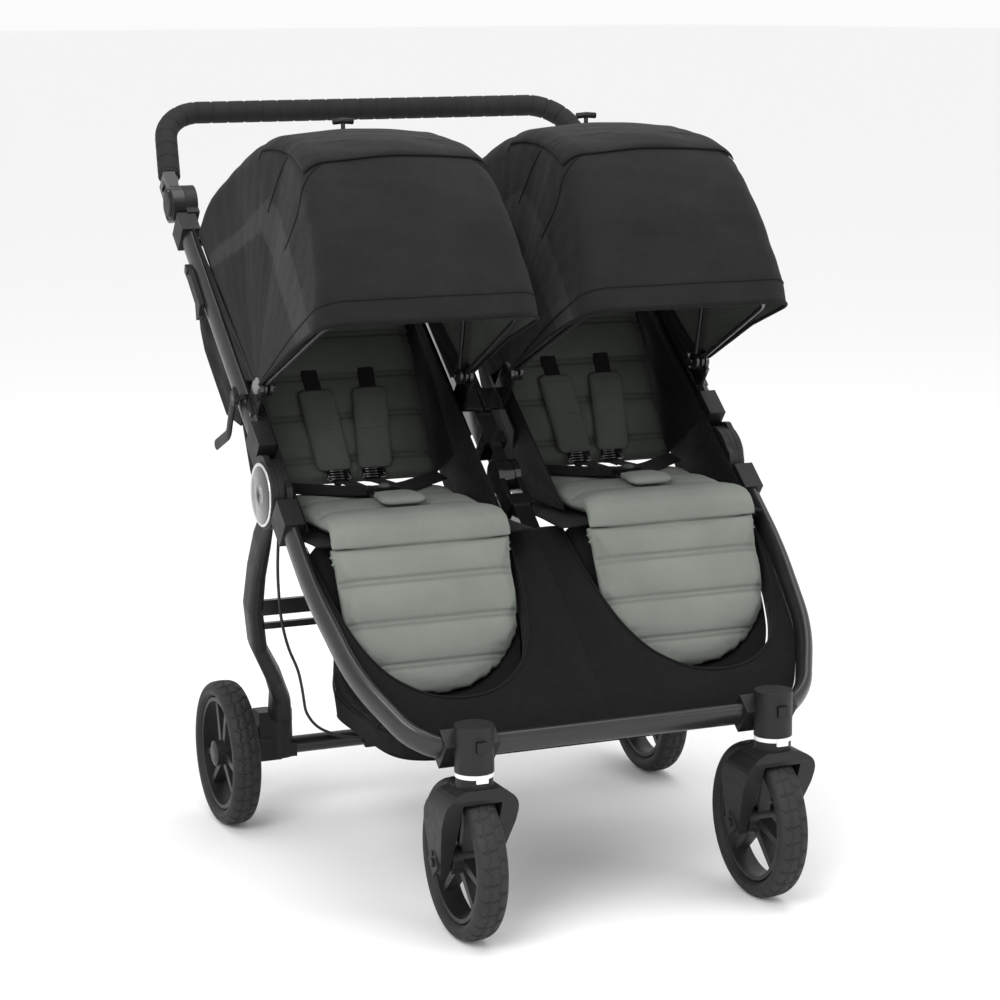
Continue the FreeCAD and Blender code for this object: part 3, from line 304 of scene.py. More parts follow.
for end, (x, y) in WHEELS.items():
    for side, sign in (("left", -1), ("right", 1)):
        new = face_outwards(tyre(f"{end}_tyre_tread_{side}", (sign * x, y, WHEEL_R)))
        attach(new, f"{end}_wheel_{side}")
        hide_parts(f"{end}_tyre_{side}")
        dress(nodes[f"{end}_rim_{side}"], rim_nylon)


def lathe_x(name, outline, centre, material, side=1, count=72):
    """Closed outline of (along X, radius) pairs spun about the X line through the centre."""
    outline = np.array(outline, float)
    angle = np.linspace(0, 2 * np.pi, count, endpoint=False)[:, None]
    points = np.stack([centre[0] + side * outline[:, 0] * np.ones_like(angle),
                       centre[1] + outline[:, 1] * np.cos(angle),
                       centre[2] + outline[:, 1] * np.sin(angle)], axis=-1)
    return face_outwards(new_mesh(name, points, grid_faces(count, len(outline), True, True), material))


# ---- fold hinge rings and handlebar pivot rings ----------------------------------------
# A bright pressed ring is snapped into the rim of each round hinge cap, round a plain
# gloss disc. The handlebar pivots have a stepped ring moulded round their buttons.
bright_metal = hard_finish("bright_metal", (0.62, 0.62, 0.63), 0.24, 500.0, 0.00002, edge=0.0003,
                           metal=1.0, spread=0.05)
HUB, HUB_FACE, PIVOT_FACE = (-0.0445, 0.541), 0.3636, 0.351


def on_slope(x, s, h):
    """Points on the slope of the side tubes, which rises backwards by 38.7 degrees: s runs
    up it from the hinge and h stands square to it."""
    x, s, h = np.broadcast_arrays(x, s, h)
    cosine, sine = 0.78043, 0.62524
    return np.stack([x, HUB[0] + s * cosine - h * sine, HUB[1] + s * sine + h * cosine], axis=-1)


PIVOT = on_slope(0.0, 0.558, 0.033)[1:]


def soft_section(width, height, count=10, power=0.6):
    """Squared oval as (along, out) pairs."""
    t = np.linspace(0, 2 * np.pi, count, endpoint=False)
    return np.stack([width / 2 * bend_power(np.cos(t), power),
                     height / 2 * bend_power(np.sin(t), power)], axis=1)


for side, sign in (("left", -1), ("right", 1)):
    ring = soft_section(0.0034, 0.0050) + [0.0022, 0.0425]
    ring = lathe_x(f"hinge_ring_{side}", ring, (sign * HUB_FACE, *HUB), bright_metal, sign, 120)
    disc = [(0.0025, 0.0), (0.0045, 0.0001), (0.0046, 0.018), (0.0038, 0.021), (0.0042, 0.038),
            (0.0034, 0.0398), (0.0025, 0.0398)]
    disc = lathe_x(f"hinge_disc_{side}", disc, (sign * HUB_FACE, *HUB), gloss_nylon, sign, 120)
    for made in (ring, disc):
        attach(made, "upper_frame")
    ring = soft_section(0.0030, 0.0030) + [0.0175, 0.0232]
    ring = lathe_x(f"pivot_ring_{side}", ring, (sign * PIVOT_FACE, *PIVOT), nylon, sign, 96)
    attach(ring, "handlebar")


# ---- canopies ---------------------------------------------------------------------------
# Each hood is one cover of black woven polyester over two spring bows, cut in panels that
# meet in felled seams, with a lighter chevron band in each side and a grey-green lining,
# darkened as painted shade.
def woven(name, colour, second, cell=0.0009, depth=0.00016, attribute=None):
    """Plain weave: crossed fine ridges, flecked yarn colour and slow uneven fading."""
    made = Recipe(name, colour, 0.82, sheen=0.04, specular=0.12)
    ridges = []
    for direction in ("X", "Z"):
        wave = made.node("ShaderNodeTexWave", {"Vector": made.place, "Scale": 0.5 / cell,
                                               "Distortion": 1.5, "Detail": 1.0, "Detail Scale": 2.0},
                         bands_direction=direction)
        ridges.append(wave.outputs["Fac"])
    cloth = made.math("ADD", made.math("MULTIPLY", *ridges), made.noise(900.0, 2.0))
    fleck = made.remap(made.noise(1500.0, 2.0), 0.0, 0.55, 0.35, 0.65)
    slow = made.remap(made.noise(11.0, 4.0), 0.0, 0.45)
    share = made.math("MULTIPLY", made.math("ADD", fleck, slow), 0.35)
    # A stored share moves the colour: the real chevron band on the hoods; on the pads a negative seam share
    # darkens the stitch grooves as painted shade.
    if attribute:
        band = made.node("ShaderNodeAttribute", attribute_name=attribute).outputs["Fac"]
        share = made.math("ADD", share, made.math("MULTIPLY", band, 0.55))
    made.tint(share, colour, second)
    made.rough(made.remap(made.noise(80.0, 3.0), 0.76, 0.88))
    made.relief(cloth, depth)
    return made.material


hood_cloth = woven("hood_cloth", (0.0070, 0.0070, 0.0076), (0.034, 0.034, 0.036), attribute="band")
# The seam attribute darkens the stitch grooves of the pads: painted shade.
pad_cloth = woven("pad_cloth", (0.145, 0.157, 0.141), (0.345, 0.370, 0.335), cell=0.0012,
                  depth=0.00022, attribute="seam")
# The grey-green pad cloth again, made darker as painted shade; it dresses the seat backs, the hood linings,
# the shoulder covers and the buckle caps.
pad_cloth_painted_shade = woven("pad_cloth_painted_shade", (0.050, 0.055, 0.048), (0.150, 0.163, 0.144), cell=0.0012,
                    depth=0.00022, attribute="seam")
black_cloth = woven("black_cloth", (0.0040, 0.0040, 0.0043), (0.013, 0.013, 0.0137))
piping_cloth = woven("piping_cloth", (0.004, 0.004, 0.0043), (0.009, 0.009, 0.0096), cell=0.0006)
CANOPY = (0.0105, 0.683)
HOOD = np.array([(34, 0.160, 0.156, 0.368, 0.030), (44, 0.160, 0.152, 0.372, 0.036),
                 (60, 0.160, 0.138, 0.362, 0.040), (78, 0.160, 0.130, 0.346, 0.036),
                 (95, 0.160, 0.130, 0.347, 0.036), (113, 0.160, 0.136, 0.350, 0.036),
                 (134, 0.161, 0.152, 0.332, 0.042), (158, 0.162, 0.161, 0.303, 0.042)])


def hood_surface(degrees, share, lift=0.0):
    """Points of a hood about its own middle. The angle turns about the pivot axis; the share
    runs up one side (to 0.33), round the corner (to 0.39), over the top and down the other.
    Each section is a U whose legs lean in, with quarter-circle corners and a low crown."""
    degrees, share = np.broadcast_arrays(np.asarray(degrees, float), np.asarray(share, float))
    w0, w1, r, c = (np.interp(degrees, HOOD[:, 0], HOOD[:, k]) for k in (1, 2, 3, 4))
    half = np.minimum(share, 1.0 - share) * 2.0
    leg = np.clip(half / 0.66, 0.0, 1.0)
    turn = np.clip((half - 0.66) / 0.12, 0.0, 1.0) * np.pi / 2
    top = np.clip((half - 0.78) / 0.22, 0.0, 1.0)
    low = 0.015
    x = w0 + (w1 - w0) * leg - c * (1.0 - np.cos(turn)) - (w1 - c) * top
    q = low + (r - c - low) * leg + c * np.sin(turn) + 0.006 * np.sin(top * np.pi / 2)
    bows = np.array([34.0, 78.0, 113.0, 158.0])
    span = np.clip(np.searchsorted(bows, degrees, side="right") - 1, 0, 2)
    place = (degrees - bows[span]) / (bows[span + 1] - bows[span])
    sag = 0.0055 * np.sin(np.pi * np.clip(place, 0, 1)) ** 2 * leg
    crease = 0.0005 * np.sin(degrees * 0.31 + share * 23.0) * np.sin(share * 41.0 + degrees * 0.11)
    crease = crease + 0.0003 * np.sin(degrees * 0.83 - share * 37.0)
    push = lift - sag + crease * leg
    x = x + push * (1.0 - top) * np.cos(turn)
    q = q + push * np.sin(turn)
    x = np.where(share < 0.5, -x, x)
    a = np.radians(degrees)
    return np.stack([x, CANOPY[0] + q * np.cos(a), CANOPY[1] + q * np.sin(a)], axis=-1)


def inside_band(y, z):
    """Share of the lighter chevron in the side plane: between two bent lines."""
    out_z = np.interp(y, [-0.25, -0.087, 0.024, 0.254], [0.765, 0.896, 0.947, 0.844])
    in_z = np.interp(y, [-0.17, 0.042, 0.230], [0.760, 0.898, 0.830])
    inner = np.clip((z - in_z) / 0.0015, 0, 1) * np.clip((out_z - z) / 0.0015, 0, 1)
    return inner * np.clip((0.240 - y) / 0.0015, 0, 1)


def hem_dip(share):
    """Degrees by which the front edge swings on over the top: 2.8 times a half sine to the
    power 0.8, over the middle three fifths of the share."""
    return 2.8 * np.sin(np.pi * np.clip((share - 0.2) / 0.6, 0, 1)) ** 0.8


def thicken(piece, thickness, offset=0.0):
    """Gives a sheet its thickness, about its middle or (with minus one) all behind it."""
    made = piece.modifiers.new("thickness", "SOLIDIFY")
    made.thickness, made.offset = thickness, offset
    return made


def paint(piece, name, shares):
    """Stores one share per point under a name that the material reads."""
    made = piece.data.attributes.new(name, "FLOAT", "POINT")
    made.data.foreach_set("value", np.asarray(shares, np.float32).ravel())


def hood_cover(name, centre):
    """The whole cover as one grid: rows turn about the pivot, columns go round the U."""
    rows, columns = 150, 200
    share = np.linspace(0.0, 1.0, columns)[None, :]
    front, back = 155.0 + hem_dip(share), 34.0
    points = hood_surface(back + (front - back) * np.linspace(0.0, 1.0, rows)[:, None], share)
    band = inside_band(points[..., 1], points[..., 2]) * (np.abs(share - 0.5) > 0.14)
    points[..., 0] += centre
    made = new_mesh(name, points, grid_faces(rows, columns), hood_cloth)
    paint(made, "band", band)
    # Inner shell material: the grey-green lining, in the pad cloth darkened as painted shade.
    made.data.materials.append(pad_cloth_painted_shade)
    made.data.flip_normals()
    layer = thicken(made, 0.0018, -1.0)
    layer.material_offset, layer.material_offset_rim = 1, 0
    return made


def capped(name, rings, ends, material):
    """Closed piece from a run of rings, with a pole at each end."""
    count, sides = rings.shape[:2]
    faces = grid_faces(count, sides, False, True).tolist()
    top, last = count * sides, (count - 1) * sides
    faces += [[top, (k + 1) % sides, k] for k in range(sides)]
    faces += [[top + 1, last + k, last + (k + 1) % sides] for k in range(sides)]
    return face_outwards(new_mesh(name, np.vstack([rings.reshape(-1, 3), *ends]), faces, material))


def tube_along(name, points, radius, material, count=10, closed=False):
    """Closed tube round a row of points, with its rings square to the run."""
    points = np.asarray(points, float)
    run = np.gradient(points, axis=0)
    if closed:
        run = np.roll(points, -1, 0) - np.roll(points, 1, 0)
    run /= np.linalg.norm(run, axis=1)[:, None]
    seed = np.array([0.36, 0.48, -0.80])
    side = seed - run * (run @ seed)[:, None]
    side /= np.linalg.norm(side, axis=1)[:, None]
    t = np.linspace(0, 2 * np.pi, count, endpoint=False)[None, :, None]
    rings = points[:, None] + radius * (side[:, None] * np.cos(t) + np.cross(run, side)[:, None] * np.sin(t))
    if closed:
        return face_outwards(new_mesh(name, rings, grid_faces(len(points), count, True, True), material))
    return capped(name, rings, (points[0], points[-1]), material)


def joined(name, items):
    """One piece from several meshes."""
    made = bmesh.new()
    for item in items:
        made.from_mesh(item.data)
    first = items[0].data
    for face in made.faces:
        face.material_index = 0
    made.to_mesh(first)
    made.free()
    items[0].name = name
    for item in items[1:]:
        bpy.data.objects.remove(item)
    return items[0]


def hood_seams(name, centre):
    """Felled seams: raised rounded ridges over the joins of the panels and along the hem."""
    t = np.linspace(0.0, 1.0, 60)
    lines = [(113.5 + 4.5 * np.sin(np.pi * t), 0.225 + 0.165 * t), (87.0 + 10.0 * t, 0.255 + 0.09 * t)]
    lines += [(degrees, 1.0 - share) for degrees, share in lines]
    over, hem = np.linspace(0.01, 0.99, 160), np.linspace(0.0, 1.0, 200)
    lines += [(78.0, np.linspace(0.34, 0.66, 160)), (149.2 + hem_dip(over), over)]
    made = []
    for degrees, share in (*lines, (155.0 + hem_dip(hem), hem)):
        last = share is hem
        points = hood_surface(degrees, share, -0.0008 if last else 0.0)
        points[:, 0] += centre
        made.append(tube_along("seam", points, 0.0026 if last else 0.0013, piping_cloth, 8))
    return joined(name, made)


def hood_flap(name, centre):
    """Double top flap over the vent: a second layer with rounded edges, closed all round."""
    rows, columns = 60, 90
    (u0, u1), (v0, v1) = (0.352, 0.648), (78.5, 114.2)
    u, v = np.linspace(u0, u1, columns)[None, :], np.linspace(v0, v1, rows)[:, None]
    wave = 0.0022 * np.sin(np.pi * (v - v0) / (v1 - v0)) + 0.0012 * np.sin(u * 40.0) * (v > 104)
    edge = np.minimum(np.minimum(u - u0, u1 - u) / 0.006, np.minimum(v - v0, v1 - v) / 0.5)
    plump = np.sqrt(np.clip(edge, 0.0, 1.0))
    points = np.stack([hood_surface(v, u, 0.0035 + (wave + 0.0008) * plump), hood_surface(v, u, 0.0022)])
    points[..., 0] += centre
    one = grid_faces(rows, columns)
    k = rows * columns
    order = np.arange(k).reshape(rows, columns)
    ring = np.concatenate([order[0], order[1:, -1], order[-1, -2::-1], order[-2:0:-1, 0]])
    after = np.roll(ring, -1)
    rim = np.stack([ring, after, after + k, ring + k], axis=1)
    faces = np.concatenate([one, one[:, ::-1] + k, rim[:, ::-1]])
    return face_outwards(new_mesh(name, points, faces, hood_cloth))


def resample(line, count, ring=False):
    """Points spaced evenly along a run of points, and their distances from its start; a ring
    is closed first and leaves out the point it would end on."""
    line = np.array([*line, line[0]] if ring else line, float)
    length = np.r_[0, np.cumsum(np.linalg.norm(np.diff(line, axis=0), axis=1))]
    t = np.linspace(0, length[-1], count, endpoint=not ring)
    return np.stack([np.interp(t, length, values) for values in line.T], axis=1), t


def wall(name, upper, lower, material, folds):
    """Cloth between two edge lines, with shallow folds of that depth fanning across it."""
    rows, columns = 30, 60
    s = np.linspace(0, 1, rows)[:, None]
    u = np.linspace(0, 1, columns)[None, :]
    upper, lower = resample(upper, columns)[0], resample(lower, columns)[0]
    points = upper[None] * (1 - s[..., None]) + lower[None] * s[..., None]
    wave = np.sin(9.0 * u + 5.0 * s) * np.sin(np.pi * u) + 0.5 * np.sin(17.0 * u - 11.0 * s)
    points[..., 0] += folds * wave * np.sin(np.pi * s)
    made = new_mesh(name, points, grid_faces(rows, columns), material)
    thicken(made, 0.0016)
    return made


for side, sign in (("left", -1), ("right", 1)):
    centre = 0.190 * sign
    cover = hood_cover(f"hood_cover_{side}", centre)
    seams = hood_seams(f"hood_seams_{side}", centre)
    flap = hood_flap(f"hood_flap_{side}", centre)
    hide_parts(f"hood_front_{side}", f"hood_rear_{side}")
    bow = (math.cos(math.radians(34.2)), math.sin(math.radians(34.2)))
    for edge, way, height, area, folds in (("outer", sign, 0.043, 0.0075, 0.0022),
                                           ("inner", -sign, 0.022, 0.0145, 0.001)):
        x = centre + 0.160 * way
        upper = [(x, CANOPY[0] + q * bow[0], CANOPY[1] + q * bow[1]) for q in (0.016, 0.352)]
        lower = on_slope(x - 0.001 * way, np.array([0.178, 0.500]), height)
        skirt = wall(f"hood_skirt_{edge}_{side}", upper, lower, hood_cloth, folds)
        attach(skirt, "upper_frame")
    stem = [(centre, 0.0865, 1.0285), (centre, 0.0865, 1.0450)]
    knob = tube_along("knob", [(centre - 0.015, 0.0865, 1.0458), (centre, 0.0865, 1.0470),
                               (centre + 0.015, 0.0865, 1.0458)], 0.0044, nylon, 14)
    toggle = joined(f"hood_pull_{side}", [tube_along("stem", stem, 0.0032, nylon, 14), knob])
    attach(toggle, "upper_frame")
    for piece in (cover, seams, flap):
        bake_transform(piece)


# ---- seat pads ----------------------------------------------------------------------------
# Quilted grey-green pads of polyester over thin foam: the seat, the calf rest that hangs from
# its front edge and the back, with double-stitched channels across them. The backs wear a
# darker copy of the cloth as painted shade.
def pad_form(name, outline, thickness, place, rings=26, material=pad_cloth):
    """Closed crowned pad: the outline is shrunk towards its middle in rings, and the height
    of both faces is half the thickness times the square root of one less the fifth power of
    the share of the way out, so the rim is round."""
    rim = resample(outline, 180, ring=True)[0]
    middle = rim.mean(axis=0)
    share = np.sin(np.linspace(0, np.pi / 2, rings + 1))[1:]
    flat = middle + (rim - middle)[None] * share[:, None, None]
    height = thickness / 2 * np.sqrt(np.clip(1 - share ** 5, 0, 1))
    upper = np.concatenate([flat, np.broadcast_to(height[:, None, None], (*flat.shape[:2], 1))], 2)
    rows = np.concatenate([upper, upper[-2::-1] * [1, 1, -1]])
    poles = [[*middle, thickness / 2], [*middle, -thickness / 2]]
    return capped(name, place(rows.reshape(-1, 3)).reshape(rows.shape), place(np.array(poles)), material)


def inflate(piece, cap):
    """Swells a pad by cloth pressure, holds every point within the cap of where it started
    and leaves an applied mesh with one subdivision."""
    view = bpy.context.view_layer
    view.objects.active = piece
    for other in bpy.context.selected_objects:
        other.select_set(False)
    piece.select_set(True)
    remesh = piece.modifiers.new("even", "REMESH")
    remesh.mode, remesh.voxel_size = "VOXEL", 0.005
    bpy.ops.object.modifier_apply(modifier="even")
    start = np.array([v.co for v in piece.data.vertices])
    cloth = piece.modifiers.new("air", "CLOTH")
    cloth.settings.use_pressure = True
    cloth.settings.uniform_pressure_force = 4.0
    cloth.settings.effector_weights.gravity = 0.0
    cloth.settings.quality = 4
    for frame_number in range(1, 21):
        bpy.context.scene.frame_set(frame_number)
    bpy.ops.object.modifier_apply(modifier="air")
    bpy.context.scene.frame_set(1)
    moved = np.array([v.co for v in piece.data.vertices]) - start
    far = np.linalg.norm(moved, axis=1, keepdims=True)
    piece.data.vertices.foreach_set("co", (start + moved * np.minimum(
        1.0, cap / np.maximum(far, 1e-9))).ravel())
    subdivide = piece.modifiers.new("smooth", "SUBSURF")
    subdivide.levels = subdivide.render_levels = 1
    bpy.ops.object.modifier_apply(modifier="smooth")
    piece.data.shade_smooth()
    return piece


def sew(piece, along, front, channels, depth, plump):
    """Presses double-stitched channels into a pad: each is two narrow grooves 7 mm apart.
    Between neighbours the cloth rises by the plump height times a half sine. The grooves are
    also stored as the seam share, which darkens the cloth in them as painted shade."""
    data = piece.data
    count = len(data.vertices)
    co, normal = np.empty(count * 3), np.empty(count * 3)
    data.vertices.foreach_get("co", co)
    data.vertices.foreach_get("normal", normal)
    co, normal = co.reshape(-1, 3), normal.reshape(-1, 3)
    place, facing = along(co), np.clip(normal @ np.array(front) * 2.2 - 0.9, 0, 1)
    channels = np.array(sorted(channels))
    groove = np.zeros(count)
    for line in channels:
        for offset in (-0.0035, 0.0035):
            groove = np.maximum(groove, np.exp(-((place - line - offset) / 0.0016) ** 2))
    soft = np.exp(-((place[:, None] - channels) / 0.010) ** 2).sum(axis=1) * 0.45
    k = np.clip(np.searchsorted(channels, place) - 1, 0, len(channels) - 2)
    rise = np.sin(np.pi * np.clip((place - channels[k]) / (channels[k + 1] - channels[k]), 0, 1))
    pucker = 0.0006 * np.sin(co[:, 0] * 310.0 + place * 60.0) * soft
    co = co + normal * (facing * (plump * rise - depth * (0.55 * groove + soft) + pucker))[:, None]
    data.vertices.foreach_set("co", co.ravel())
    # Painted shade: the seam share, negative in the grooves, darkens the cloth there.
    paint(piece, "seam", -0.8 * groove * facing)
    data.update()


def twin(piece, name):
    """The same pad for the other seat, mirrored across the middle plane."""
    other = piece.copy()
    other.data = piece.data.copy()
    other.name = name
    bpy.context.scene.collection.objects.link(other)
    other.data.transform(Matrix.Scale(-1, 4, (1, 0, 0)))
    other.data.flip_normals()
    return other


def tilted(angle, y, z, x=-0.190):
    """Places local (across, along, out) points on a plane turned about X by the angle."""
    a = math.radians(angle)
    def place(p):
        return np.stack([x + p[:, 0], y + p[:, 1] * math.cos(a) - p[:, 2] * math.sin(a),
                         z + p[:, 1] * math.sin(a) + p[:, 2] * math.cos(a)], axis=1)
    def along(p):
        return (p[:, 1] - y) * math.cos(a) + (p[:, 2] - z) * math.sin(a)
    return place, along, (0.0, -math.sin(a), math.cos(a))


def cut_corner(before, here, after, cut, count):
    """Quadratic curve in place of a corner, from that far before it to that far after it."""
    before, here, after = (np.array(v, float) for v in (before, here, after))
    a = here + (before - here) / np.linalg.norm(before - here) * cut
    b = here + (after - here) / np.linalg.norm(after - here) * cut
    return [(1 - t) ** 2 * a + 2 * t * (1 - t) * here + t * t * b for t in np.linspace(0, 1, count)]


def rounded_outline(corners, cuts):
    """Closed polygon with every corner cut by its own length."""
    after = corners[1:] + corners[:1]
    return sum((cut_corner(corners[i - 1], corners[i], after[i], cuts[i], 10)
                for i in range(len(corners))), [])


def curled(p):
    """Seat cushion: level behind the front crest, then rolled down over it by 67 degrees."""
    back, out = p[:, 1] + 0.104, p[:, 2]
    turn = np.clip(-back / 0.028, 0.0, math.radians(67.0))
    rest = np.minimum(back + 0.028 * math.radians(67.0), 0.0)
    y = -0.180 + np.maximum(back, 0.0) - (0.028 + out) * np.sin(turn) + rest * np.cos(turn)
    z = 0.4845 + (0.028 + out) * np.cos(turn) + rest * np.sin(turn) - 0.02 * np.maximum(back, 0.0)
    return np.stack([p[:, 0] - 0.190, y, z], axis=1)


def along_curl(p):
    """Distance along the cushion, unrolled, of a point in the row frame."""
    turn = np.arctan2(np.maximum(-0.180 - p[:, 1], 0.0), np.maximum(p[:, 2] - 0.4845, 0.001))
    return np.where(p[:, 1] > -0.180, p[:, 1] + 0.076, -0.104 - 0.028 * turn)


t = np.linspace(np.pi, 2 * np.pi, 30)
SEAT_PADS = (
    ("cushion", "seat_cushion", "lower_frame", pad_cloth, 0.0215, (curled, along_curl, (0, -0.25, 0.97)),
     rounded_outline([(-0.134, -0.1500), (0.134, -0.1500), (0.133, 0.124), (-0.133, 0.124)],
                     [0.008, 0.008, 0.025, 0.025]),
     [-0.165, -0.060, 0.030, 0.150], 0.0016, 0.0030),
    ("calf", "calf_pad", "calf_rest_{}", pad_cloth, 0.0185, tilted(67.0, -0.197, 0.489),
     [(-0.1355, 0.004), (-0.1345, -0.060), *zip(0.1330 * np.cos(t), -0.0980 + 0.1190 * np.sin(t)),
      (0.1345, -0.060), (0.1355, 0.004)],
     [0.012, -0.0530, -0.1120, -0.1710, -0.225], 0.0026, 0.0030),
    # Back pads: the pad cloth darkened as painted shade.
    ("back", "back_pad", "seat_back_{}", pad_cloth_painted_shade, 0.0155, tilted(63.0, 0.06109, 0.51754),
     rounded_outline([(-0.133, 0.004), (0.133, 0.004), (0.129, 0.424), (-0.129, 0.424)],
                     [0.02, 0.02, 0.05, 0.05]),
     [0.0, 0.045, 0.110, 0.172, 0.236, 0.300, 0.364, 0.430], 0.0022, 0.0026))
for kind, node, body, cloth, thickness, (place, along, front), outline, channels, depth, plump in SEAT_PADS:
    left = inflate(pad_form(f"{kind}_cover_left", outline, thickness, place, material=cloth), 0.005)
    sew(left, along, front, channels, depth, plump)
    for side, pad in (("left", left), ("right", twin(left, f"{kind}_cover_right"))):
        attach(pad, body.format(side))
        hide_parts(f"{node}_{side}")
        if kind == "cushion":
            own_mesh(pad)

# ---- five-point harness --------------------------------------------------------------------
# Two padded shoulder covers per seat in the grey-green cloth darkened as painted shade, black
# webbing below them to a ladder lock and the crotch buckle, and a grey crotch pad in front of
# the buckle.
webbing_cloth = woven("webbing_cloth", (0.005, 0.005, 0.0052), (0.012, 0.012, 0.0122), cell=0.0007,
                      depth=0.0003)


def ribbon(name, middle, width, across=(1.0, 0.0, 0.0)):
    """Flat strap along a smoothed row of points: a rounded-edge section, closed at both ends.
    Across is the strap's width direction."""
    points = resample(middle, 48)[0]
    for _ in range(12):
        points[1:-1] = 0.25 * points[:-2] + 0.5 * points[1:-1] + 0.25 * points[2:]
    run = np.gradient(points, axis=0)
    run /= np.linalg.norm(run, axis=1)[:, None]
    across = across - run * (run @ across)[:, None]
    across /= np.linalg.norm(across, axis=1)[:, None]
    section = soft_section(width, 0.0022, 16, 0.35)
    rings = (points[:, None] + across[:, None] * section[None, :, :1]
             + np.cross(across, run)[:, None] * section[None, :, 1:])
    return capped(name, rings, (points[0], points[-1]), webbing_cloth)


for side, sign in (("left", -1), ("right", 1)):
    middle = 0.190 * sign
    place, along, front = tilted(63.0, 0.070, 0.513, middle)
    shoulder, straps, locks = [], [], []
    for half in (-1, 1):
        edge = [(half * 0.031 - 0.026, 0.026), (half * 0.031 + 0.026, 0.026),
                (half * 0.042 + 0.027, 0.150), (half * 0.042 - 0.027, 0.150)]
        def lay(p, place=place):
            return place(p + [0.0, 0.0, 0.0275])
        # Shoulder covers in the pad cloth darkened as painted shade.
        pad = pad_form("shoulder", rounded_outline(edge, [0.012] * 4), 0.0125, lay, 12, pad_cloth_painted_shade)
        co = np.array([v.co for v in pad.data.vertices])
        normal = np.array([v.normal for v in pad.data.vertices])
        low = along(co)
        ends = np.minimum(np.abs(low - 0.034), np.abs(low - 0.142))
        line = np.exp(-(ends / 0.0018) ** 2) + 0.8 * np.exp(-(np.abs(low - 0.088) / 0.0022) ** 2)
        facing = np.clip(normal @ np.array(front), 0, 1)
        co = co - normal * (0.0012 * line * facing)[:, None]
        pad.data.vertices.foreach_set("co", co.ravel())
        shoulder.append(pad)
        path = np.array([(half * 0.045, 0.216, 0.0205), (half * 0.044, 0.180, 0.0225),
                         (half * 0.041, 0.140, 0.0265), (half * 0.033, 0.050, 0.0265),
                         (half * 0.029, 0.020, 0.0262), (half * 0.022, 0.006, 0.0262)])
        straps.append(ribbon("web", place(path), 0.025))
        down = place(np.array([(half * 0.022, 0.008, 0.0262)]))[0]
        lap = [down, down + [0.0, -0.030, 0.004], (middle + half * 0.024, -0.030, 0.538),
               (middle + half * 0.012, -0.048, 0.537)]
        straps.append(ribbon("lap", lap, 0.024))
        waist = [(middle + half * 0.128, 0.045, 0.533), (middle + half * 0.090, 0.008, 0.534),
                 (middle + half * 0.050, -0.030, 0.535), (middle + half * 0.020, -0.054, 0.537)]
        straps.append(ribbon("waist", waist, 0.024, (0.5 * half, 0.8, 0.1)))
        lock = place(np.array([(half * 0.027, 0.013 + 0.004 * k, 0.0285) for k in range(4)]))
        reach = np.array([0.0155, 0.0, 0.0])
        for row in lock:
            locks.append(tube_along("bar", [row - reach, row, row + reach], 0.0019, gloss_nylon))
        for end in (-1, 1):
            locks.append(tube_along("rail", lock[[0, 1, 3]] + end * reach, 0.0024, gloss_nylon))
    covers = joined(f"shoulder_covers_{side}", shoulder)
    web = joined(f"harness_webbing_{side}", straps)
    ladder = joined(f"ladder_locks_{side}", locks)
    for piece in (covers, web, ladder):
        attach(piece, f"seat_back_{side}")
    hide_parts(f"harness_{side}")

crotch = []
for side, sign in (("left", -1), ("right", 1)):
    middle = 0.190 * sign
    outline = rounded_outline([(-0.037, -0.146), (0.037, -0.146), (0.026, -0.084), (-0.026, -0.084)],
                              [0.022, 0.022, 0.010, 0.010])
    def lay(p, middle=middle):
        y = p[:, 1]
        return np.stack([middle + p[:, 0], y, 0.5375 + p[:, 2] - 3.0 * (y + 0.115) ** 2], axis=1)
    crotch.append(pad_form("crotch", outline, 0.0135, lay, 14))
    body = []
    for name, material, outline, thickness, z in (
            ("buckle_shell", gloss_nylon,
             rounded_outline([(-0.020, -0.080), (0.020, -0.080), (0.026, -0.052), (0.021, -0.040),
                              (-0.021, -0.040), (-0.026, -0.052)], [0.009] * 6), 0.0155, 0.53525),
            # The cap takes the pad cloth darkened as painted shade.
            ("buckle_cap", pad_cloth_painted_shade,
             [(0.0085 * math.cos(a), -0.061 + 0.0085 * math.sin(a))
              for a in np.linspace(0, 2 * np.pi, 40, endpoint=False)], 0.0091, 0.54225)):
        def lay(p, middle=middle, z=z):
            return p + [middle, 0.0, z]
        body.append(pad_form(f"{name}_{side}", outline, thickness, lay, 12, material))
    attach(body[0], "lower_frame")
    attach(body[1], f"buckle_button_{side}")
    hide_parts(f"buckle_button_{side}")
pads = joined("crotch_pads", crotch)
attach(pads, "lower_frame")
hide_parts("buckles")


# ---- apron and wells -----------------------------------------------------------------------
# Black cloth stretched between the side tubes below the seats, cut out in a deep U in front
# of each calf rest; every opening has a piped edge and a lining that drops behind it.
def apron_side(count):
    """Outer edge of the left half in slope coordinates: the side tube's inner line."""
    corners = [(-0.340, -0.118), (-0.340, -0.200), (-0.323, -0.352), (-0.281, -0.441),
               (-0.251, -0.4640), (0.0, -0.4640)]
    return resample(rounded_line(corners, 0.050), count)[0]


def rounded_line(corners, cut, count=12):
    """Open run of points with every inner corner cut, by 0.45 of its shorter side at most."""
    out = [corners[0]]
    for before, here, after in zip(corners, corners[1:], corners[2:]):
        most = 0.45 * min(math.dist(before, here), math.dist(after, here))
        out += cut_corner(before, here, after, min(cut, most), count)
    return out + [corners[-1]]


def well_edge(centre, count=120):
    """Opening in slope coordinates from its outer top, round the bottom, to its inner top."""
    half = [(0.148, -0.118), (0.141, -0.200), (0.133, -0.250), (0.119, -0.305), (0.094, -0.353),
            (0.050, -0.388)]
    corners = [(-x, s) for x, s in half] + [(0.0, -0.398)] + half[::-1]
    return resample(rounded_line(corners, 0.045, 8), count)[0] + [centre, 0.0]


def slope_points(flat, height):
    """Row-frame points of (x, s) places at a height square to the slope."""
    return on_slope(flat[..., 0], flat[..., 1], height)


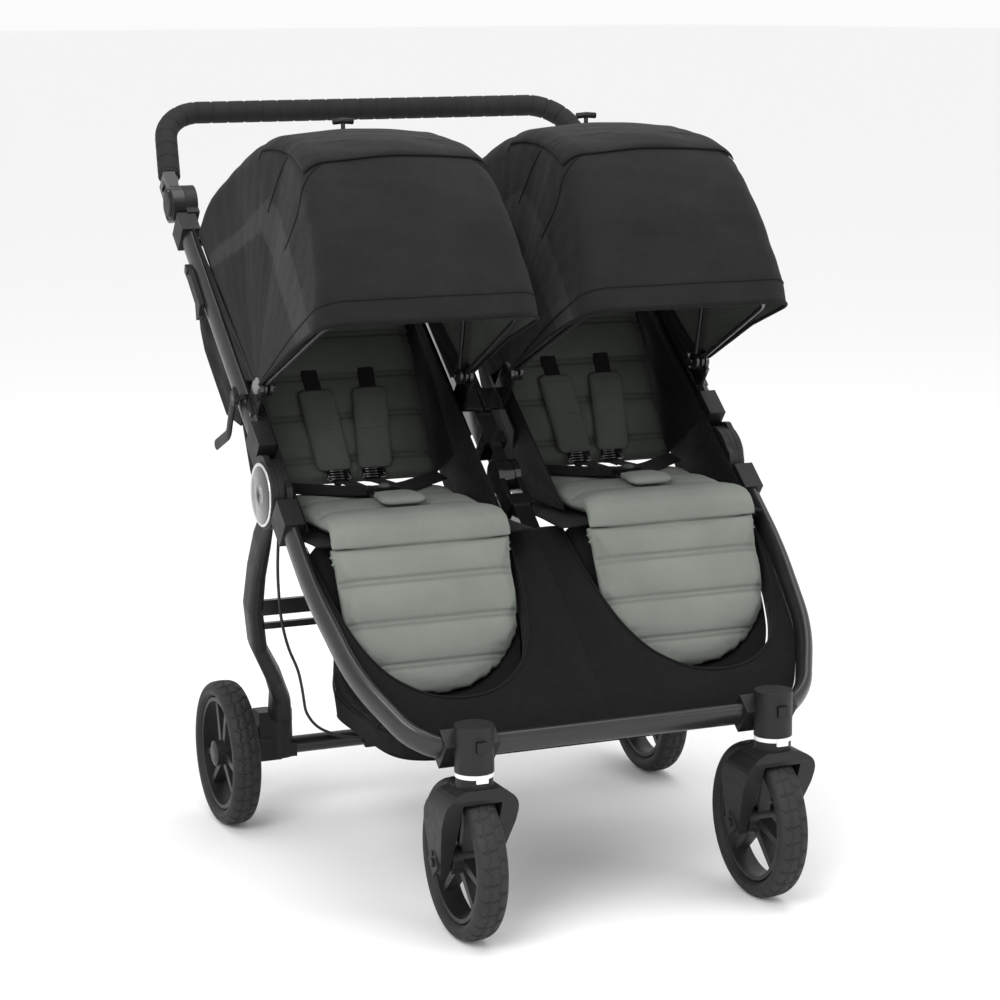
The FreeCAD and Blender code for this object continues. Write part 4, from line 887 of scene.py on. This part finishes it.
def apron_half():
    """Left half: rows run from the well's edge to the outer edge and the middle line, with
    a rolled lip at the well and a slight fullness; columns go round the well."""
    columns = 150
    well = well_edge(-0.190, columns)
    outer = apron_side(110)
    inner = np.stack([np.zeros(40), np.linspace(-0.4640, -0.118, 40)], axis=1)
    line = np.vstack([outer, inner[1:]])
    share = np.r_[0, np.cumsum(np.linalg.norm(np.diff(line, axis=0), axis=1))]
    keys = [0.0, share[60], share[109], share[-1]]
    t = np.interp(np.linspace(0, 1, columns), [0.0, 0.34, 0.60, 1.0], keys)
    rim = np.stack([np.interp(t, share, line[:, k]) for k in (0, 1)], axis=1)
    rows = 26
    v = np.linspace(0, 1, rows)[:, None, None]
    flat = well[None] * (1 - v) + rim[None] * v
    v = v[..., 0]
    full = 0.0035 * np.sin(np.pi * v) ** 0.7 * np.clip(
        np.linalg.norm(rim - well, axis=1) / 0.05, 0, 1)[None]
    u = np.linspace(0, 1, columns)[None]
    height = 0.0182 + full + 0.0006 * np.sin(u * 34.0 + v * 4.0) * np.sin(np.pi * v)
    points = slope_points(flat, height)
    way = well - [-0.190, -0.150]
    way /= np.linalg.norm(way, axis=1)[:, None]
    drops = [slope_points(well + way * back, 0.0182 - depth) for depth, back in (
        (0.040, 0.004375), (0.026, 0.0028), (0.012, 0.0014), (0.003, 0.000525))]
    return np.concatenate([drops, points])


half = apron_half()
faces = grid_faces(*half.shape[:2])
apron_cloth = woven("apron_cloth", (0.0032, 0.0032, 0.0034), (0.0075, 0.0075, 0.0079), cell=0.0010)
apron = new_mesh("apron_cover", np.stack([half, half * [-1, 1, 1]]),
                 np.vstack([faces, faces[:, ::-1] + half.shape[0] * half.shape[1]]), apron_cloth)
made = bmesh.new()
made.from_mesh(apron.data)
bmesh.ops.remove_doubles(made, verts=made.verts, dist=0.00005)
made.to_mesh(apron.data)
made.free()
thicken(apron, 0.0018)
pipes = joined("apron_piping", [
    tube_along("pipe", slope_points(well_edge(centre), 0.0196), 0.0024, piping_cloth)
    for centre in (-0.190, 0.190)])
for piece in (apron, pipes):
    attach(piece, "lower_frame")
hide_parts("apron")

# ---- linings below the seats ------------------------------------------------------------------
# A black lining closes each well behind the calf rest, and a cloth floor stretched between
# the rails carries the seat cushion.
for side, sign in (("left", -1), ("right", 1)):
    edge = well_edge(0.0, 90)
    place = tilted(67.0, -0.197, 0.489, 0.0)[0]
    drop = np.clip((edge[:, 1] + 0.118) / 0.280, -1.0, 0.0) * 0.217 + 0.012
    rows = [slope_points(edge, -0.0198)]
    for share, out in ((0.93, -0.021), (0.80, -0.0215), (0.55, -0.022), (0.25, -0.0225), (0.0, -0.023)):
        rows.append(place(np.stack([edge[:, 0] * share, drop, np.full(90, out)], axis=1)))
    points = np.array(rows)
    points[..., 0] += 0.190 * sign
    lining = new_mesh(f"well_lining_{side}", points, grid_faces(len(rows), 90), black_cloth)
    x = np.linspace(0.0205, 0.3385, 60)[None, :] * sign
    y = np.linspace(-0.2005, 0.052, 40)[:, None]
    z = 0.4915 + 0.0012 * np.sin(x * 60.0) * np.sin(y * 40.0)
    floor_cloth = new_mesh(f"seat_floor_{side}", np.stack(np.broadcast_arrays(x, y, z), axis=-1),
                           grid_faces(40, 60), black_cloth)
    for piece, flat, area in ((lining, (0.34, 0.30), 0.062), (floor_cloth, (0.318, 0.2525), 0.0802)):
        thicken(piece, 0.0014)
        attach(piece, "lower_frame")
        if piece is floor_cloth:
            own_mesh(piece)

# ---- fabric beside the seats -----------------------------------------------------------------
# Loose black side panels hang from the rails down to the edges of the cushions, and a sling
# of the same cloth passes behind each upper tube.
for side, sign in (("left", -1), ("right", 1)):
    for edge, x in (("outer", 0.3335 * sign), ("inner", 0.0470 * sign)):
        upper = [(x, -0.150, 0.5085), (x, 0.215, 0.7905)]
        lower = [(x, -0.150, 0.505), (x, 0.060, 0.499), (x, 0.104, 0.548), (x, 0.154, 0.648),
                 (x, 0.218, 0.776)]
        panel = wall(f"seat_panel_{edge}_{side}", upper, lower, black_cloth, 0.0016)
        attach(panel, "lower_frame")
        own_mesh(panel)
        if edge == "outer":
            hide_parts(f"seat_sides_{side}")
    loose = []
    for edge, pad_x, rail_x in (("outer", 0.3150, 0.3330), ("inner", 0.0650, 0.0340)):
        behind = [(sign * pad_x, 0.080 + t * 0.454, 0.510 + t * 0.891) for t in (0.01, 0.42)]
        rail = on_slope(sign * rail_x, np.array([0.066, 0.485]), 0.020)
        wing = wall(f"wing_{edge}_{side}", rail, behind, black_cloth, 0.0012)
        loose.append((wing, (0.42, 0.12), 0.028))
    x = 0.345 * sign
    upper = on_slope(x, np.array([0.150, 0.440]), 0.004)
    lower = [(x, 0.108, 0.615), (x, 0.176, 0.622), (x, 0.232, 0.666), (x, 0.280, 0.705),
             (x, 0.298, 0.733), (x, 0.306, 0.762), (x, 0.312, 0.806)]
    loose.append((wall(f"sling_{side}", upper, lower, black_cloth, 0.0016), (0.30, 0.09), 0.019))
    for piece, flat, area in loose:
        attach(piece, "upper_frame")

# ---- basket -----------------------------------------------------------------------------------
# Soft storage tub under the seats: black cloth sides with a mesh window on each flank, a
# sagging floor and a bound top edge.
def basket_surface(u, v):
    """Points of the tub: u goes once round, v from the middle of the floor out to its edge
    (up to 0.4) and up the wall to the rim. Sections are squared ovals; walls bow inwards."""
    u, v = np.broadcast_arrays(u, v)
    a = u * 2 * np.pi
    wall_share = np.clip((v - 0.4) / 0.6, 0, 1)
    floor_share = np.clip(v / 0.4, 0, 1)
    z, w, y0, y1 = (np.interp(wall_share, [0, 0.37, 1], stops) for stops in (
        (0.188, 0.236, 0.321), (0.233, 0.245, 0.249), (-0.236, -0.250, -0.224), (0.094, 0.098, 0.058)))
    cx, cy = bend_power(np.cos(a), 0.34), bend_power(np.sin(a), 0.34)
    bow = 0.006 * np.sin(np.pi * wall_share) * (1 - np.abs(np.cos(2 * a)) ** 8)
    fold = 0.0012 * np.sin(26 * a) * np.sin(np.pi * wall_share)
    spread = np.where(v < 0.4, floor_share, 1.0)
    x = (w - bow + fold) * cx * spread
    y = (y0 + y1) / 2 + ((y1 - y0) / 2 - bow + fold) * cy * spread
    sag = 0.0015 * np.sin(9 * a) * floor_share * (v < 0.4)
    dip = 0.010 * np.abs(np.cos(a)) ** 2 * np.clip(wall_share - 0.7, 0, 1) / 0.3
    return np.stack([x, y, z + sag - dip], axis=-1)


around, up = 240, 60
u = np.linspace(0, 1, around, endpoint=False)[None, :]
v = np.linspace(0.004, 1.0, up)[:, None]
points = basket_surface(u, v).reshape(-1, 3)
points = np.vstack([points, basket_surface(np.array([0.0]), np.array([0.0]))])
faces = grid_faces(up, around, False, True).tolist()
faces += [[up * around, (k + 1) % around, k] for k in range(around)]
window = Recipe("basket_cloth", (0.0045, 0.0045, 0.0048), 0.8, specular=0.12)
holes = window.node("ShaderNodeTexVoronoi", {"Vector": window.place, "Scale": 420.0,
                                             "Randomness": 0.15}).outputs["Distance"]
mask = window.node("ShaderNodeAttribute", attribute_name="window").outputs["Fac"]
gap = window.math("MULTIPLY", mask, window.remap(holes, 1.0, 0.0, 0.42, 0.50))
window.tree.links.new(window.math("SUBTRACT", 1.0, gap), window.shader.inputs["Alpha"])
window.relief(window.noise(700.0, 2.0), 0.0002)
window.tint(window.remap(window.noise(20.0, 3.0), 0.0, 1.0), (0.0045, 0.0045, 0.0048),
            (0.0095, 0.0095, 0.010))
tub = new_mesh("basket_shell", points, faces, window.material)
side_share = np.minimum(np.abs(u - 0.5), np.minimum(u, 1 - u))
open_part = (v > 0.56) & (v < 0.93) & (side_share < 0.085)
paint(tub, "window", np.r_[open_part.ravel(), False])
tub.data.flip_normals()
thicken(tub, 0.0014, -1.0)
once = np.linspace(0, 1, 200, endpoint=False)
bound = joined("basket_binding", [
    tube_along("bound", basket_surface(once, np.full(200, level)), radius, piping_cloth, sides, closed=True)
    for level, radius, sides in ((1.0, 0.0032, 10), (0.40, 0.0020, 8))])
for piece in (tub, bound):
    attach(piece, "lower_frame")
    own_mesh(piece)
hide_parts("basket")

# ---- handlebar grip -----------------------------------------------------------------------------
# One foam sleeve covers both bends and the straight of the handlebar, scored with a narrow
# ring every 27 mm; its skin is matte and slightly pitted.
def grip_line(first, count):
    """Middle of the handlebar tube from one end of the sleeve to the other, evenly spaced:
    slanted arms meet the straight bar in 66 mm arcs."""
    def arm(t):
        return 0.359 - 0.027 * (t - 0.031) / 0.161
    corner = np.array([0.332, 0.192])
    way = np.array([arm(first), first]) - corner
    way /= np.linalg.norm(way)
    half = math.acos(float(way @ np.array([-1.0, 0.0]))) / 2
    cut = 0.066 / math.tan(half)
    a, b = corner + way * cut, corner + np.array([-1.0, 0.0]) * cut
    middle = way + np.array([-1.0, 0.0])
    centre = corner + middle / np.linalg.norm(middle) * (0.066 / math.sin(half))
    angles = [math.atan2(*(p - centre)[::-1]) for p in (a, b)]
    arc = [centre + 0.066 * np.array([math.cos(g), math.sin(g)]) for g in np.linspace(*angles, 40)]
    right = np.array([[arm(first), first], *arc])
    line = np.vstack([right, right[::-1] * [-1, 1]])
    return resample(line, count)


line, run = grip_line(0.054, 700)
lift = math.radians(42.6)
line3 = np.stack([line[:, 0], PIVOT[0] + line[:, 1] * math.cos(lift),
                  PIVOT[1] + line[:, 1] * math.sin(lift)], axis=1)
tangent = np.gradient(line3, axis=0)
tangent /= np.linalg.norm(tangent, axis=1)[:, None]
normal = np.array([0.0, -math.sin(lift), math.cos(lift)])
sideways = np.cross(tangent, normal)
phase = np.abs((run - run[-1] / 2) / 0.027 % 1.0 - 0.5) * 0.027
radius = 0.0169 - 0.0017 * np.exp(-(phase / 0.0014) ** 2)
end = np.minimum(run, run[-1] - run)
radius = 0.0132 + (radius - 0.0132) * np.sqrt(np.clip(end / 0.004, 0, 1))
turn = np.linspace(0, 2 * np.pi, 40, endpoint=False)[None, :, None]
rings = line3[:, None] + radius[:, None, None] * (normal * np.cos(turn) + sideways[:, None] * np.sin(turn))
foam = hard_finish("grip_foam", (0.010, 0.010, 0.0105), 0.78, 1400.0, 0.00018, edge=0.0, spread=0.5,
                   specular=0.25)
grip = capped("grip_sleeve", rings, (line3[0], line3[-1]), foam)
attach(grip, "handlebar")
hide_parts("handle_grip")
